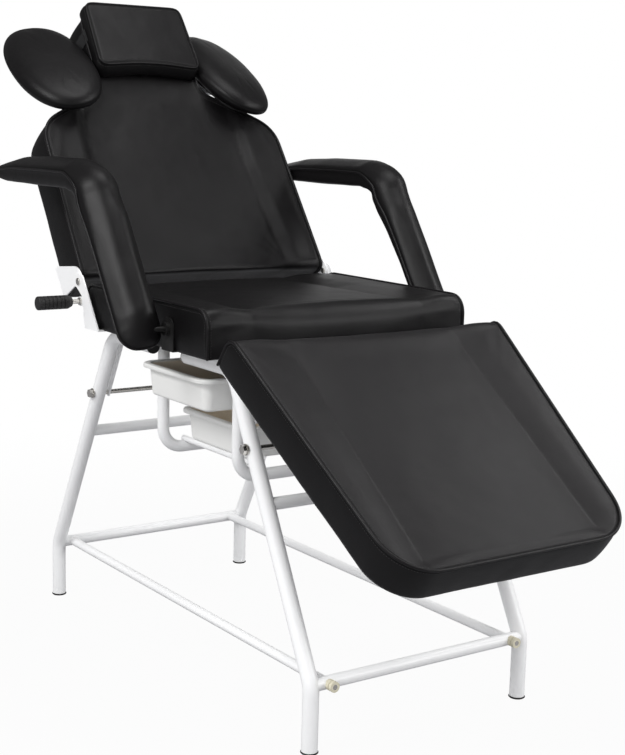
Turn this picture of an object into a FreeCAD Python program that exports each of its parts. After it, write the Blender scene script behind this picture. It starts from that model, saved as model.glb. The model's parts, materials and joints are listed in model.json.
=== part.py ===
# Reclining treatment chair: three cushions on a tube frame with four legs.
# Millimetres. X points to the foot end, Y to the far side, Z up. The origin lies on the floor,
# on the middle plane, half way between the ends of the chair as it stands.
# The back and the leg rest are built lying flat, level with the seat, then turned about their pivots.
import FreeCAD, Part
import math
import os

os.makedirs("parts", exist_ok=True)

vec = FreeCAD.Vector
along_x = vec(1, 0, 0)
along_y = vec(0, 1, 0)
along_z = vec(0, 0, 1)
near = -1
far = 1
sides = (near, far)

# Driving sizes of the chair
base_middle_x = -29.5
foot_spacing = 1037.0
rail_z = 653.7
bed_top_z = 768.0
seat_front_ahead = 240.5
seat_length = 491.0
seat_half_width = 308.0
back_length = 684.0
leg_length = 563.0
back_angle = 55.7
legrest_angle = 35.9

# Widths that follow the seat's width
leg_inset = 58.0
back_extra = 1.0
leg_extra = 6.0
leg_spacing = 2 * (seat_half_width - leg_inset)
back_half_width = seat_half_width + back_extra
leg_half_width = seat_half_width + leg_extra

# Clearances
overrun = 2.0
running_gap = 0.08
plate_gap = 0.3
seat_gap = 0.3
# Corner radii stay a little under the half width, so that each straight run keeps some length.
near_round = 0.9

# Tube frame
leg_d = 30.0
leg_wall = 1.5
leg_low_bend_z = 126.0
leg_run = 277.0
leg_bend_r = 60.0
rail_end_gap = 140.0
cross_d = 24.0
cross_wall = 1.5
upper_cross_z = 422.0
side_rail_d = 19.0
side_rail_inset = 33.0
glide_floor = 4.0
glide_lip = 1.5
glide_depth = 20.0
plug_rim = 2.0
plug_depth = 18.0
leg_half_y = leg_spacing / 2
leg_r = leg_d / 2
side_rail_y = leg_half_y - side_rail_inset
foot_half_x = foot_spacing / 2
leg_tilt = math.atan2(leg_run, rail_z - leg_low_bend_z)


def point(x, y, z):
    return vec(x, y, z)


# A line of straight runs with round corners through the given points, closed or open.
def rounded_wire(points, radii, closed):
    count = len(points)
    edges = []
    inner = range(count) if closed else range(1, count - 1)
    starts = {}
    ends = {}
    arcs = {}
    for i in inner:
        here = points[i]
        before = (here - points[i - 1]).normalize()
        after = (points[(i + 1) % count] - here).normalize()
        turn = before.getAngle(after)
        reach = radii[i] * math.tan(turn / 2)
        starts[i] = here - before * reach
        ends[i] = here + after * reach
        if reach > 0:
            middle = (after - before).normalize() * (radii[i] / math.cos(turn / 2) - radii[i])
            arcs[i] = Part.Arc(starts[i], here + middle, ends[i]).toShape()
    runs = range(count) if closed else range(count - 1)
    for i in runs:
        j = (i + 1) % count
        run_start = ends.get(i, points[i])
        run_end = starts.get(j, points[j])
        if (run_end - run_start).Length > 1e-6 * leg_d:
            edges.append(Part.makeLine(run_start, run_end))
        if j in arcs:
            edges.append(arcs[j])
    return Part.Wire(edges)


# A closed outline in the XZ plane, pushed along Y from one value to another.
def side_plate(corners, radii, y_start, y_end):
    low = min(y_start, y_end)
    high = max(y_start, y_end)
    points = [point(x, low, z) for x, z in corners]
    face = Part.Face(rounded_wire(points, radii, True))
    return face.extrude(along_y * (high - low))


# A closed outline in the XY plane, pushed up from one height to another.
def flat_slab(corners, radii, z_low, z_high):
    points = [point(x, y, z_low) for x, y in corners]
    face = Part.Face(rounded_wire(points, radii, True))
    return face.extrude(along_z * (z_high - z_low))


def box_between(x_low, x_high, y_low, y_high, z_low, z_high):
    return Part.makeBox(x_high - x_low, y_high - y_low, z_high - z_low, point(x_low, y_low, z_low))


def rod_along_y(x, z, radius, y_start, y_end):
    low = min(y_start, y_end)
    return Part.makeCylinder(radius, abs(y_end - y_start), point(x, low, z), along_y)


def rod_between(start, end, radius):
    run = end - start
    return Part.makeCylinder(radius, run.Length, start, run)


# A round bar or tube bent in one plane through the given points.
def bent_bar(points, radii, radius):
    path = rounded_wire(points, radii, False)
    start = points[0]
    ring = Part.Wire(Part.makeCircle(radius, start, points[1] - start))
    return path.makePipeShell([ring], True, False)


def bent_tube(points, radii, diameter, wall):
    outer = bent_bar(points, radii, diameter / 2)
    return outer.cut(bent_bar(points, radii, diameter / 2 - wall))


def straight_tube(start, end, diameter, wall):
    outer = rod_between(start, end, diameter / 2)
    return outer.cut(rod_between(start, end, diameter / 2 - wall))


def mirrored(shape):
    return shape.mirror(vec(0, 0, 0), along_y)


def on_side(shape, side):
    return shape if side == far else mirrored(shape)


def save(name, pieces):
    shape = pieces[0] if len(pieces) == 1 else Part.makeCompound(pieces)
    shape.exportStep("parts/" + name + ".step")
    solids = len(shape.Solids)
    print(name, solids, "solids", round(shape.Volume), shape.isValid())


# The line of one leg: up from the floor, sloping in, then level under the seat.
def leg_points(end_side):
    foot_x = base_middle_x + end_side * foot_half_x
    corner_x = foot_x - end_side * leg_run
    tail_x = base_middle_x + end_side * rail_end_gap / 2
    return [
        point(foot_x, leg_half_y, glide_floor),
        point(foot_x, leg_half_y, leg_low_bend_z),
        point(corner_x, leg_half_y, rail_z),
        point(tail_x, leg_half_y, rail_z),
    ]


# Where the sloping part of a leg's centre line passes a height.
def leg_slope_x(end_side, z):
    foot_x = base_middle_x + end_side * foot_half_x
    return foot_x - end_side * (z - leg_low_bend_z) * math.tan(leg_tilt)


leg_radii = [0, leg_bend_r, leg_bend_r, 0]
tie_rod_z = 517.0
tie_rod_d = 10.0
tie_rod_hole_gap = 0.25
tie_rod_x = {end_side: leg_slope_x(end_side, tie_rod_z) for end_side in sides}


def make_leg(end_side):
    tube = bent_tube(leg_points(end_side), leg_radii, leg_d, leg_wall)
    hole_r = tie_rod_d / 2 + tie_rod_hole_gap
    hole = rod_along_y(tie_rod_x[end_side], tie_rod_z, hole_r, leg_half_y - leg_d, leg_half_y + leg_d)
    return tube.cut(hole)


# Black glide pushed into the foot, with a rim under the tube's end.
def make_glide(end_side):
    foot_x = base_middle_x + end_side * foot_half_x
    base = point(foot_x, leg_half_y, 0)
    rim = Part.makeCylinder(leg_r + glide_lip, glide_floor, base, along_z)
    rim = rim.makeChamfer(glide_lip, [rim.Edges[0], rim.Edges[2]])
    plug = Part.makeCylinder(leg_r - leg_wall, glide_floor + glide_depth, base, along_z)
    return rim.fuse(plug).removeSplitter()


def make_end_plug(end_side):
    tail = leg_points(end_side)[-1]
    rim = Part.makeCylinder(leg_r, plug_rim, tail, along_x * -end_side)
    plug = Part.makeCylinder(leg_r - leg_wall, plug_depth, tail, along_x * end_side)
    return rim.fuse(plug).removeSplitter()


# Cross tubes run between the legs and are shaped to them at both ends.
def make_cross_tube(x, z, leg_outer):
    start = point(x, -leg_half_y, z)
    tube = straight_tube(start, point(x, leg_half_y, z), cross_d, cross_wall)
    tube = tube.cut(leg_outer).cut(mirrored(leg_outer))
    return max(tube.Solids, key=lambda solid: solid.Volume)


def make_side_rail():
    start_x = base_middle_x - foot_half_x
    end_x = base_middle_x + foot_half_x
    start = point(start_x, side_rail_y, leg_low_bend_z)
    rail = straight_tube(start, point(end_x, side_rail_y, leg_low_bend_z), side_rail_d, cross_wall)
    for x in (start_x, end_x):
        rail = rail.cut(rod_along_y(x, leg_low_bend_z, cross_d / 2, -leg_half_y, leg_half_y))
    return max(rail.Solids, key=lambda solid: solid.Volume)


def drill_for_bumpers(tube):
    for side in sides:
        start = point(base_middle_x + foot_half_x, side * side_rail_y, leg_low_bend_z)
        tube = tube.cut(Part.makeCylinder(bumper_hole_d / 2, cross_d, start, along_x))
    return tube


def make_base_tubes():
    for end_side, name in ((near, "rear"), (far, "front")):
        leg = make_leg(end_side)
        save(name + "_leg_far", [leg])
        save(name + "_leg_near", [mirrored(leg)])
    lower = []
    upper = []
    for end_side in sides:
        leg_outer = bent_bar(leg_points(end_side), leg_radii, leg_r)
        lower.append(make_cross_tube(base_middle_x + end_side * foot_half_x, leg_low_bend_z, leg_outer))
        upper.append(make_cross_tube(leg_slope_x(end_side, upper_cross_z), upper_cross_z, leg_outer))
    lower[-1] = drill_for_bumpers(lower[-1])
    save("lower_cross_tubes", lower)
    save("upper_cross_tubes", upper)
    rail = make_side_rail()
    save("side_rails", [mirrored(rail), rail])
    glides = [make_glide(end_side) for end_side in sides]
    save("foot_glides", glides + [mirrored(glide) for glide in glides])
    plugs = [make_end_plug(end_side) for end_side in sides]
    save("rail_end_plugs", plugs + [mirrored(plug) for plug in plugs])


# Tie rods through the sloping legs, each end with a washer and a cap nut
washer_d = 22.0
washer_t = 1.6
cap_nut_flats = 16.0
cap_nut_h = 8.0
cap_dome_h = 6.0
cap_dome_d = 14.6
tie_rod_nut_reach = 6.0


def make_tie_rod(end_side):
    half = leg_half_y + leg_r + washer_t + tie_rod_nut_reach
    return rod_along_y(tie_rod_x[end_side], tie_rod_z, tie_rod_d / 2, -half, half)


def hexagon_wire(centre, flats):
    corner_r = flats / 2 / math.cos(math.pi / 6)
    corners = []
    for i in range(6):
        turn = i * math.pi / 3
        corners.append(centre + vec(corner_r * math.cos(turn), 0, corner_r * math.sin(turn)))
    return Part.makePolygon(corners + corners[:1])


def make_tie_rod_ends(end_side):
    x = tie_rod_x[end_side]
    washer_y = leg_half_y + leg_r
    nut_y = washer_y + washer_t
    hole = rod_along_y(x, tie_rod_z, tie_rod_d / 2, washer_y - overrun, nut_y + tie_rod_nut_reach)
    washer = rod_along_y(x, tie_rod_z, washer_d / 2, washer_y, nut_y).cut(hole)
    nut = Part.Face(hexagon_wire(point(x, nut_y, tie_rod_z), cap_nut_flats)).extrude(along_y * cap_nut_h)
    dome_base_y = nut_y + cap_nut_h
    dome_base_r = cap_dome_d / 2
    dome_r = (dome_base_r ** 2 + cap_dome_h ** 2) / (2 * cap_dome_h)
    ball = Part.makeSphere(dome_r, point(x, dome_base_y + cap_dome_h - dome_r, tie_rod_z))
    dome = ball.common(rod_along_y(x, tie_rod_z, dome_base_r, dome_base_y, dome_base_y + cap_dome_h))
    return washer, nut.fuse(dome).removeSplitter().cut(hole)


# Flat brace beside each rear leg, from the rear tie rod up to the seat board
brace_width = 16.0
brace_t = 3.0
brace_inset = 24.0
brace_y = leg_half_y - brace_inset
brace_foot_length = 34.0
board_t = 12.0
seat_thickness = 92.0
seat_bottom_z = bed_top_z - seat_thickness


def make_brace():
    low = vec(tie_rod_x[near], 0, tie_rod_z)
    lean = vec(math.sin(leg_tilt), 0, math.cos(leg_tilt))
    rise = (seat_bottom_z - tie_rod_z - brace_t) / math.cos(leg_tilt)
    top = low + lean * rise
    half = brace_width / 2
    across = vec(lean.z, 0, -lean.x)
    corners = []
    for base, shift in ((low - lean * half, -1), (low - lean * half, 1), (top, 1), (top, -1)):
        corner = base + across * half * shift
        corners.append((corner.x, corner.z))
    bar = side_plate(corners, [half / 2, half / 2, 0, 0], brace_y, brace_y + brace_t)
    above = seat_bottom_z - brace_t
    reach = half / math.cos(leg_tilt) + brace_width
    bar = bar.cut(box_between(top.x - reach, top.x + reach, 0, leg_spacing, above, bed_top_z))
    foot_start = top.x - half
    foot = box_between(foot_start, foot_start + brace_foot_length, brace_y - brace_width, brace_y + brace_t,
                       above, seat_bottom_z)
    hole_r = tie_rod_d / 2 + tie_rod_hole_gap
    hole = rod_along_y(low.x, low.z, hole_r, brace_y - overrun, brace_y + brace_t + overrun)
    return bar.fuse(foot).removeSplitter().cut(hole)


def make_tie_rod_set():
    save("tie_rods", [make_tie_rod(end_side) for end_side in sides])
    washers = []
    nuts = []
    for end_side in sides:
        washer, nut = make_tie_rod_ends(end_side)
        washers += [washer, mirrored(washer)]
        nuts += [nut, mirrored(nut)]
    save("tie_rod_washers", washers)
    save("tie_rod_cap_nuts", nuts)
    brace = make_brace()
    save("rear_leg_braces", [mirrored(brace), brace])


# Round bumpers on the front of the front lower cross tube
bumper_d = 20.0
bumper_disc_t = 7.0
bumper_groove = 1.5
bumper_groove_t = 1.6
bumper_seat_t = 3.0
bumper_hole_d = 5.0
bumper_head_d = 10.0
bumper_head_t = 2.5
bumper_screw_l = 30.0


def make_bumper():
    tube_x = base_middle_x + foot_half_x
    face_x = tube_x + cross_d / 2 - bumper_seat_t
    length = bumper_seat_t + 2 * bumper_disc_t + bumper_groove_t
    start = point(face_x, side_rail_y, leg_low_bend_z)
    body = Part.makeCylinder(bumper_d / 2, length, start, along_x)
    groove_x = face_x + bumper_seat_t + bumper_disc_t
    groove_start = point(groove_x, side_rail_y, leg_low_bend_z)
    ring = Part.makeCylinder(bumper_d / 2 + overrun, bumper_groove_t, groove_start, along_x)
    ring = ring.cut(Part.makeCylinder(bumper_d / 2 - bumper_groove, bumper_groove_t, groove_start, along_x))
    body = body.cut(ring)
    body = body.cut(rod_along_y(tube_x, leg_low_bend_z, cross_d / 2, 0, leg_spacing))
    hole = Part.makeCylinder(bumper_hole_d / 2, length + overrun, start, along_x)
    head_start = start + along_x * (length - bumper_head_t)
    pocket = Part.makeCylinder(bumper_head_d / 2, bumper_head_t + overrun, head_start, along_x)
    body = body.cut(hole).cut(pocket)
    head = Part.makeCylinder(bumper_head_d / 2, bumper_head_t, head_start, along_x)
    shank = Part.makeCylinder(bumper_hole_d / 2, bumper_screw_l, head_start, along_x * -1)
    return body, head.fuse(shank).removeSplitter()


def make_bumpers():
    body, screw = make_bumper()
    save("cross_bumpers", [mirrored(body), body])
    save("bumper_screws", [mirrored(screw), screw])


# Two hangers under the seat carry the trays on runners
hanger_spacing = 300.0
hanger_inset = 70.0
hanger_half_y = leg_half_y - hanger_inset
hanger_d = 25.0
hanger_wall = 1.5
hanger_bend_r = 45.0
hanger_bar_z = 418.0
hanger_foot_t = 3.0
hanger_foot_half = 26.0
runner_d = 12.0
runner_inset = 50.0
runner_y = hanger_half_y - runner_inset
runner_sink = 1.0
crossbar_d = 12.0
upper_runner_z = 540.0
hanger_x = {end_side: base_middle_x + end_side * hanger_spacing / 2 for end_side in sides}
lower_runner_z = hanger_bar_z + hanger_d / 2 + runner_d / 2 - runner_sink
crossbar_z = upper_runner_z - runner_d / 2 - crossbar_d / 2 + runner_sink


def make_hanger(end_side):
    x = hanger_x[end_side]
    top = seat_bottom_z - hanger_foot_t
    corners = [
        point(x, -hanger_half_y, top),
        point(x, -hanger_half_y, hanger_bar_z),
        point(x, hanger_half_y, hanger_bar_z),
        point(x, hanger_half_y, top),
    ]
    bends = [0, hanger_bend_r, hanger_bend_r, 0]
    outer = bent_bar(corners, bends, hanger_d / 2)
    tube = outer.cut(bent_bar(corners, bends, hanger_d / 2 - hanger_wall))
    crossbar = rod_along_y(x, crossbar_z, crossbar_d / 2, -hanger_half_y, hanger_half_y)
    crossbar = crossbar.cut(outer)
    crossbar = max(crossbar.Solids, key=lambda solid: solid.Volume)
    shape = tube.fuse(crossbar)
    for side in sides:
        y = side * hanger_half_y
        foot = box_between(x - hanger_foot_half, x + hanger_foot_half, y - hanger_foot_half,
                           y + hanger_foot_half, top, seat_bottom_z)
        shape = shape.fuse(foot)
    return shape.removeSplitter()


def make_runner(z, rest_z, rest_d):
    start = point(hanger_x[near], runner_y, z)
    rod = rod_between(start, point(hanger_x[far], runner_y, z), runner_d / 2)
    for end_side in sides:
        rod = rod.cut(rod_along_y(hanger_x[end_side], rest_z, rest_d / 2, 0, hanger_half_y))
    return max(rod.Solids, key=lambda solid: solid.Volume)


def make_tray_frame():
    save("tray_hanger_rear", [make_hanger(near)])
    save("tray_hanger_front", [make_hanger(far)])
    low = make_runner(lower_runner_z, hanger_bar_z, hanger_d)
    save("lower_tray_runners", [mirrored(low), low])
    high = make_runner(upper_runner_z, crossbar_z, crossbar_d)
    save("upper_tray_runners", [mirrored(high), high])


# Storage trays: tapered bins with a turned-down rim
tray_half_x = 120.0
tray_side_gap = 37.0
tray_half_y = hanger_half_y - tray_side_gap
tray_h = 68.0
tray_wall = 2.4
tray_taper = 6.0
tray_corner_r = 22.0
tray_rim = 13.0
tray_rim_t = 2.4
tray_lip = 9.0
tray_edge = 7.0
upper_tray_pull = 96.0


def tray_outline(grow, z):
    half_x = tray_half_x + grow
    half_y = tray_half_y + grow
    corners = [(-half_x, -half_y), (half_x, -half_y), (half_x, half_y), (-half_x, half_y)]
    points = [point(x, y, z) for x, y in corners]
    return rounded_wire(points, [tray_corner_r + grow] * 4, True)


def make_tray(floor_z, pull):
    outer = Part.makeLoft([
        tray_outline(-tray_taper - tray_edge, 0),
        tray_outline(-tray_taper, tray_edge),
        tray_outline(0, tray_h),
    ], True, True)
    inner = Part.makeLoft([
        tray_outline(-tray_taper - tray_edge - tray_wall, tray_wall),
        tray_outline(-tray_taper - tray_wall, tray_edge + tray_wall),
        tray_outline(-tray_wall, tray_h + overrun),
    ], True, True)
    rim = Part.Face(tray_outline(tray_rim, tray_h - tray_lip)).extrude(along_z * tray_lip)
    hollow_face = Part.Face(tray_outline(tray_rim - tray_rim_t, tray_h - tray_lip))
    hollow = hollow_face.extrude(along_z * (tray_lip - tray_rim_t))
    tray = outer.fuse(rim.cut(hollow)).cut(inner)
    tray.translate(point(base_middle_x, -pull, floor_z))
    return tray.removeSplitter()


def make_trays():
    save("lower_tray", [make_tray(lower_runner_z + runner_d / 2 + seat_gap, 0)])
    save("upper_tray", [make_tray(upper_runner_z + runner_d / 2 + seat_gap, upper_tray_pull)])


# Cushion lofts: each section is a row of sides and arcs across the cushion at one place along X.
# The wings rise from the piping to a crest, fall to a sewn channel, and the middle panel has a crown.
bulge = 1.2
tuck = 5.0
wing_crest = 4.0
channel_drop = 9.0
panel_crown = 3.5


def cushion_section(x, half, channel, low_z, edge_z, fullness, drop_share=1):
    mid_z = (low_z + edge_z) / 2
    wing_y = (half + channel) / 2
    crest_z = edge_z + wing_crest * fullness
    channel_z = edge_z - channel_drop * drop_share
    panel_z = channel_z + panel_crown * fullness
    base_y = half - tuck
    side_y = half - tuck / 2 + bulge

    def at(y, z):
        return point(x, y, z)

    return Part.Wire([
        Part.makeLine(at(-base_y, low_z), at(base_y, low_z)),
        Part.Arc(at(base_y, low_z), at(side_y, mid_z), at(half, edge_z)).toShape(),
        Part.Arc(at(half, edge_z), at(wing_y, crest_z), at(channel, channel_z)).toShape(),
        Part.Arc(at(channel, channel_z), at(0, panel_z), at(-channel, channel_z)).toShape(),
        Part.Arc(at(-channel, channel_z), at(-wing_y, crest_z), at(-half, edge_z)).toShape(),
        Part.Arc(at(-half, edge_z), at(-side_y, mid_z), at(-base_y, low_z)).toShape(),
    ])


# A piped end is a little narrower and lower than the rest.
end_round = 10.0
end_sink = 2.0
end_narrow = 2.0
end_fullness_share = 0.2
roll_steps = 5


# Sections across one end, from its face inwards. Where the cover rolls over the end they rise
# by a quarter round.
def end_sections(station, inward, roll_r, low_z, edge_z):
    x, half, channel = station
    if roll_r == 0:
        rim = cushion_section(x, half - end_narrow, channel - end_narrow, low_z, edge_z - end_sink,
                              end_fullness_share)
        return [rim, cushion_section(x + inward * end_round, half, channel, low_z, edge_z, 1)]
    sections = []
    for step in range(roll_steps + 1):
        turn = math.pi / 2 * step / roll_steps
        shift = inward * roll_r * (1 - math.cos(turn))
        top_z = edge_z - roll_r * (1 - math.sin(turn))
        fullness = end_fullness_share + (1 - end_fullness_share) * math.sin(turn)
        sections.append(cushion_section(x + shift, half, channel, low_z, top_z, fullness, fullness))
    return sections


# The stations run from low to high X. The rolls are the radii of the two ends, 0 for a piped end.
def cushion_body(stations, low_z, edge_z, rolls):
    sections = end_sections(stations[0], 1, rolls[0], low_z, edge_z)
    for x, half, channel in stations[1:-1]:
        sections.append(cushion_section(x, half, channel, low_z, edge_z, 1))
    sections += reversed(end_sections(stations[-1], -1, rolls[1], low_z, edge_z))
    return Part.makeLoft(sections, True, True)


# Seat
seat_front_x = base_middle_x + seat_front_ahead
seat_rear_x = seat_front_x - seat_length
seat_corner_r = 6.0
seat_front_roll_r = 28.0
seat_rear_roll_r = 20.0
wing_rear_width = 136.0
wing_front_width = 103.0
seat_channel_rear = seat_half_width - wing_rear_width
seat_channel_front = seat_half_width - wing_front_width
board_inset = 6.0
cushion_edge_drop = 2.0


def seat_corners(inset):
    rear = seat_rear_x + inset
    front = seat_front_x - inset
    half = seat_half_width - inset
    return [(rear, -half), (front, -half), (front, half), (rear, half)]


seat_radii = [seat_corner_r] * 4


def make_seat():
    board_top = seat_bottom_z + board_t
    board = flat_slab(seat_corners(board_inset), seat_radii, seat_bottom_z, board_top)
    save("seat_board", [board])
    edge_z = bed_top_z - cushion_edge_drop
    stations = [
        (seat_rear_x, seat_half_width, seat_channel_rear),
        ((seat_rear_x + seat_front_x) / 2, seat_half_width, (seat_channel_rear + seat_channel_front) / 2),
        (seat_front_x, seat_half_width, seat_channel_front),
    ]
    body = cushion_body(stations, board_top, edge_z, (seat_rear_roll_r, seat_front_roll_r))
    plan = flat_slab(seat_corners(0), seat_radii, board_top, bed_top_z + seat_thickness)
    save("seat_cushion", [body.common(plan)])


# Saddles between the rails and the seat board
saddle_length = 40.0
saddle_width = 34.0
saddle_from_tail = (44.0, 124.0)
saddle_grip = 6.0


def make_saddles():
    saddles = []
    for end_side in sides:
        tail_x = base_middle_x + end_side * rail_end_gap / 2
        for offset in saddle_from_tail:
            middle_x = tail_x + end_side * offset
            block = box_between(middle_x - saddle_length / 2, middle_x + saddle_length / 2,
                                leg_half_y - saddle_width / 2, leg_half_y + saddle_width / 2,
                                rail_z + leg_r - saddle_grip, seat_bottom_z)
            rail = Part.makeCylinder(leg_r, saddle_length * 2,
                                     point(middle_x - saddle_length, leg_half_y, rail_z), along_x)
            saddle = block.cut(rail)
            saddles += [saddle, mirrored(saddle)]
    save("rail_saddles", saddles)


# Pivots of the back: a plate on each side of the seat holds the back's arm
pivot_behind_seat = 20.0
pivot_x = seat_rear_x - pivot_behind_seat
pivot_z = bed_top_z
sector_gap = 1.7
sector_y = back_half_width + sector_gap
sector_t = 2.5
arm_y = sector_y + sector_t
arm_t = 3.0
plate_y = arm_y + arm_t + plate_gap
plate_t = 3.0
pivot_r = 5.0
pivot_head_r = 8.0
pivot_head_t = 3.0
pivot_tail_r = 6.5
pivot_tail_t = 1.5
pivot_boss_r = 16.0
flange_t = 3.0
flange_width = 44.0
plate_foot_length = 65.0
plate_foot_ahead = 28.0
shaft_ahead = 9.0
shaft_below = 40.5
shaft_r = 5.0
shaft_lug_r = 10.0
shaft_x = pivot_x + shaft_ahead
shaft_z = pivot_z - shaft_below


def make_hinge_plate(with_lug):
    foot_z = seat_bottom_z - flange_t
    rear_x = pivot_x + plate_foot_ahead
    front_x = rear_x + plate_foot_length
    low_y = plate_y
    high_y = plate_y + plate_t
    corners = [
        (rear_x, foot_z),
        (front_x, foot_z),
        (pivot_x + pivot_boss_r, pivot_z + pivot_boss_r),
        (pivot_x - pivot_boss_r, pivot_z + pivot_boss_r),
        (pivot_x - pivot_boss_r, pivot_z - pivot_boss_r / 2),
        (shaft_x + shaft_lug_r, shaft_z + shaft_lug_r),
    ]
    radii = [0, 0, pivot_boss_r, pivot_boss_r / 2, pivot_boss_r / 2, pivot_boss_r]
    plate = side_plate(corners, radii, low_y, high_y)
    flange = box_between(rear_x, front_x, high_y - flange_width, high_y, foot_z, seat_bottom_z)
    plate = plate.fuse(flange)
    if with_lug:
        lug = rod_along_y(shaft_x, shaft_z, shaft_lug_r, low_y, high_y)
        strap = side_plate([
            (shaft_x, shaft_z - shaft_lug_r),
            (rear_x + shaft_lug_r, shaft_z - shaft_lug_r),
            (rear_x + shaft_lug_r, shaft_z + shaft_lug_r),
            (shaft_x, shaft_z + shaft_lug_r),
        ], [0] * 4, low_y, high_y)
        plate = plate.fuse(lug).fuse(strap)
        bore_r = shaft_r + running_gap
        plate = plate.cut(rod_along_y(shaft_x, shaft_z, bore_r, low_y - overrun, high_y + overrun))
    plate = plate.cut(rod_along_y(pivot_x, pivot_z, pivot_r, low_y - overrun, high_y + overrun))
    return plate.removeSplitter()


def make_back_pivot():
    inner = sector_y - pivot_tail_t
    outer = plate_y + plate_t
    shank = rod_along_y(pivot_x, pivot_z, pivot_r, inner, outer)
    head = rod_along_y(pivot_x, pivot_z, pivot_head_r, outer, outer + pivot_head_t)
    head = head.makeFillet(pivot_head_t / 2, [max(head.Edges, key=lambda edge: edge.CenterOfMass.y)])
    tail = rod_along_y(pivot_x, pivot_z, pivot_tail_r, inner, sector_y - plate_gap)
    return shank.fuse(head).fuse(tail).removeSplitter()


def make_back_pivots():
    save("hinge_plate_near", [mirrored(make_hinge_plate(True))])
    save("hinge_plate_far", [make_hinge_plate(False)])
    pivot = make_back_pivot()
    save("back_pivot_rivets", [mirrored(pivot), pivot])


# Back rest, built flat: board below, cushion above
back_thickness = 95.0
back_board_t = 12.0
back_rise = 9.3
back_behind_pivot = 8.0
back_top_z = pivot_z + back_rise
back_bottom_z = back_top_z - back_thickness
back_end_x = pivot_x - back_behind_pivot
back_head_x = back_end_x - back_length
shoulder_from_head = 303.0
neck_from_head = 205.0
shoulder_inset = 6.0
neck_inset = 179.0
shoulder_x = back_head_x + shoulder_from_head
neck_x = back_head_x + neck_from_head
neck_half_width = back_half_width - neck_inset
shoulder_half_width = back_half_width - shoulder_inset
shoulder_r = 75.0
neck_r = 45.0
head_corner_r = 28.0
back_corner_r = 6.0
back_roll_r = 18.0
# Half widths of the sewn channels at shares of the back's length from its lower end.
back_channel_shares = ((0.0, 0.69), (0.2, 0.64), (0.41, 0.61), (0.6, 0.61), (1.0, 0.56))


def back_corners(inset):
    end = back_end_x - inset
    head = back_head_x + inset
    half = back_half_width - inset
    shoulder = shoulder_half_width - inset
    neck = neck_half_width - inset
    half_outline = [(end, half), (shoulder_x, shoulder), (neck_x, neck), (head, neck)]
    other = [(x, -y) for x, y in reversed(half_outline)]
    return half_outline + other


def back_radii(inset):
    half_radii = [back_corner_r, shoulder_r - inset, neck_r + inset, head_corner_r - inset]
    return half_radii + half_radii[::-1]


# Ear pad rods run in a tube across the neck
ear_rod_from_head = 157.5
ear_rod_depth = 65.4
ear_rod_r = 6.0
ear_tube_r = 8.0
ear_rod_x = back_head_x + ear_rod_from_head
ear_rod_z = back_top_z - ear_rod_depth


def turn_back(shape):
    shape.rotate(point(pivot_x, 0, pivot_z), along_y, back_angle)
    return shape


def make_back():
    board_top = back_bottom_z + back_board_t
    board = flat_slab(back_corners(board_inset), back_radii(board_inset), back_bottom_z, board_top)
    save("back_board", [turn_back(board)])
    stations = []
    for length_share, width_share in back_channel_shares:
        stations.append((back_end_x - back_length * length_share, back_half_width,
                         back_half_width * width_share))
    edge_z = back_top_z - cushion_edge_drop
    body = cushion_body(stations[::-1], board_top, edge_z, (0, back_roll_r))
    plan = flat_slab(back_corners(0), back_radii(0), board_top, back_top_z + back_thickness)
    cushion = body.common(plan)
    cushion = cushion.cut(rod_along_y(ear_rod_x, ear_rod_z, ear_tube_r, -leg_spacing, leg_spacing))
    save("back_cushion", [turn_back(cushion)])
    tube = rod_along_y(ear_rod_x, ear_rod_z, ear_tube_r, -neck_half_width, neck_half_width)
    bore_r = ear_rod_r + running_gap
    tube = tube.cut(rod_along_y(ear_rod_x, ear_rod_z, bore_r, -leg_spacing, leg_spacing))
    save("ear_rod_tube", [turn_back(tube)])


# The back's arms: a fan-shaped plate on each side, with a flange behind the board.
# The near arm carries the toothed sector.
arm_reach = 71.0
arm_heel_h = 8.0
arm_shoulder_reach = 30.0
arm_shoulder_r = 40.0
arm_eye_r = 12.0
arm_throat_r = 7.2
arm_waist_in = 3.0
arm_waist_below = 26.0
sector_tip_r = 30.0
tooth_depth = 3.2
tooth_pitch_angle = 7.5
tooth_rise_share = 0.75
tooth_tip_share = 0.9
sector_first_angle = -58.0
sector_teeth = 12
sector_wing_r = 60.0
sector_wing_angle = 16.0
sector_back_angle = 70.0


def make_back_arm():
    low_y = arm_y
    high_y = arm_y + arm_t
    flange_z = back_bottom_z - flange_t
    corners = [
        (back_end_x, flange_z),
        (back_end_x - arm_reach, flange_z),
        (back_end_x - arm_reach, back_bottom_z + arm_heel_h),
        (pivot_x - arm_shoulder_reach, pivot_z + arm_eye_r),
        (pivot_x + arm_eye_r, pivot_z + arm_eye_r),
        (pivot_x + arm_eye_r, pivot_z - arm_eye_r),
        (pivot_x - arm_waist_in, pivot_z - arm_waist_below),
    ]
    radii = [0, 0, arm_heel_h, arm_shoulder_r, arm_eye_r, arm_throat_r, arm_eye_r / 2]
    arm = side_plate(corners, radii, low_y, high_y)
    flange = box_between(back_end_x - arm_reach, back_end_x, high_y - flange_width, high_y,
                         flange_z, back_bottom_z)
    arm = arm.fuse(flange)
    bore_r = pivot_r + running_gap
    arm = arm.cut(rod_along_y(pivot_x, pivot_z, bore_r, low_y - overrun, high_y + overrun))
    return arm.removeSplitter()


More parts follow.
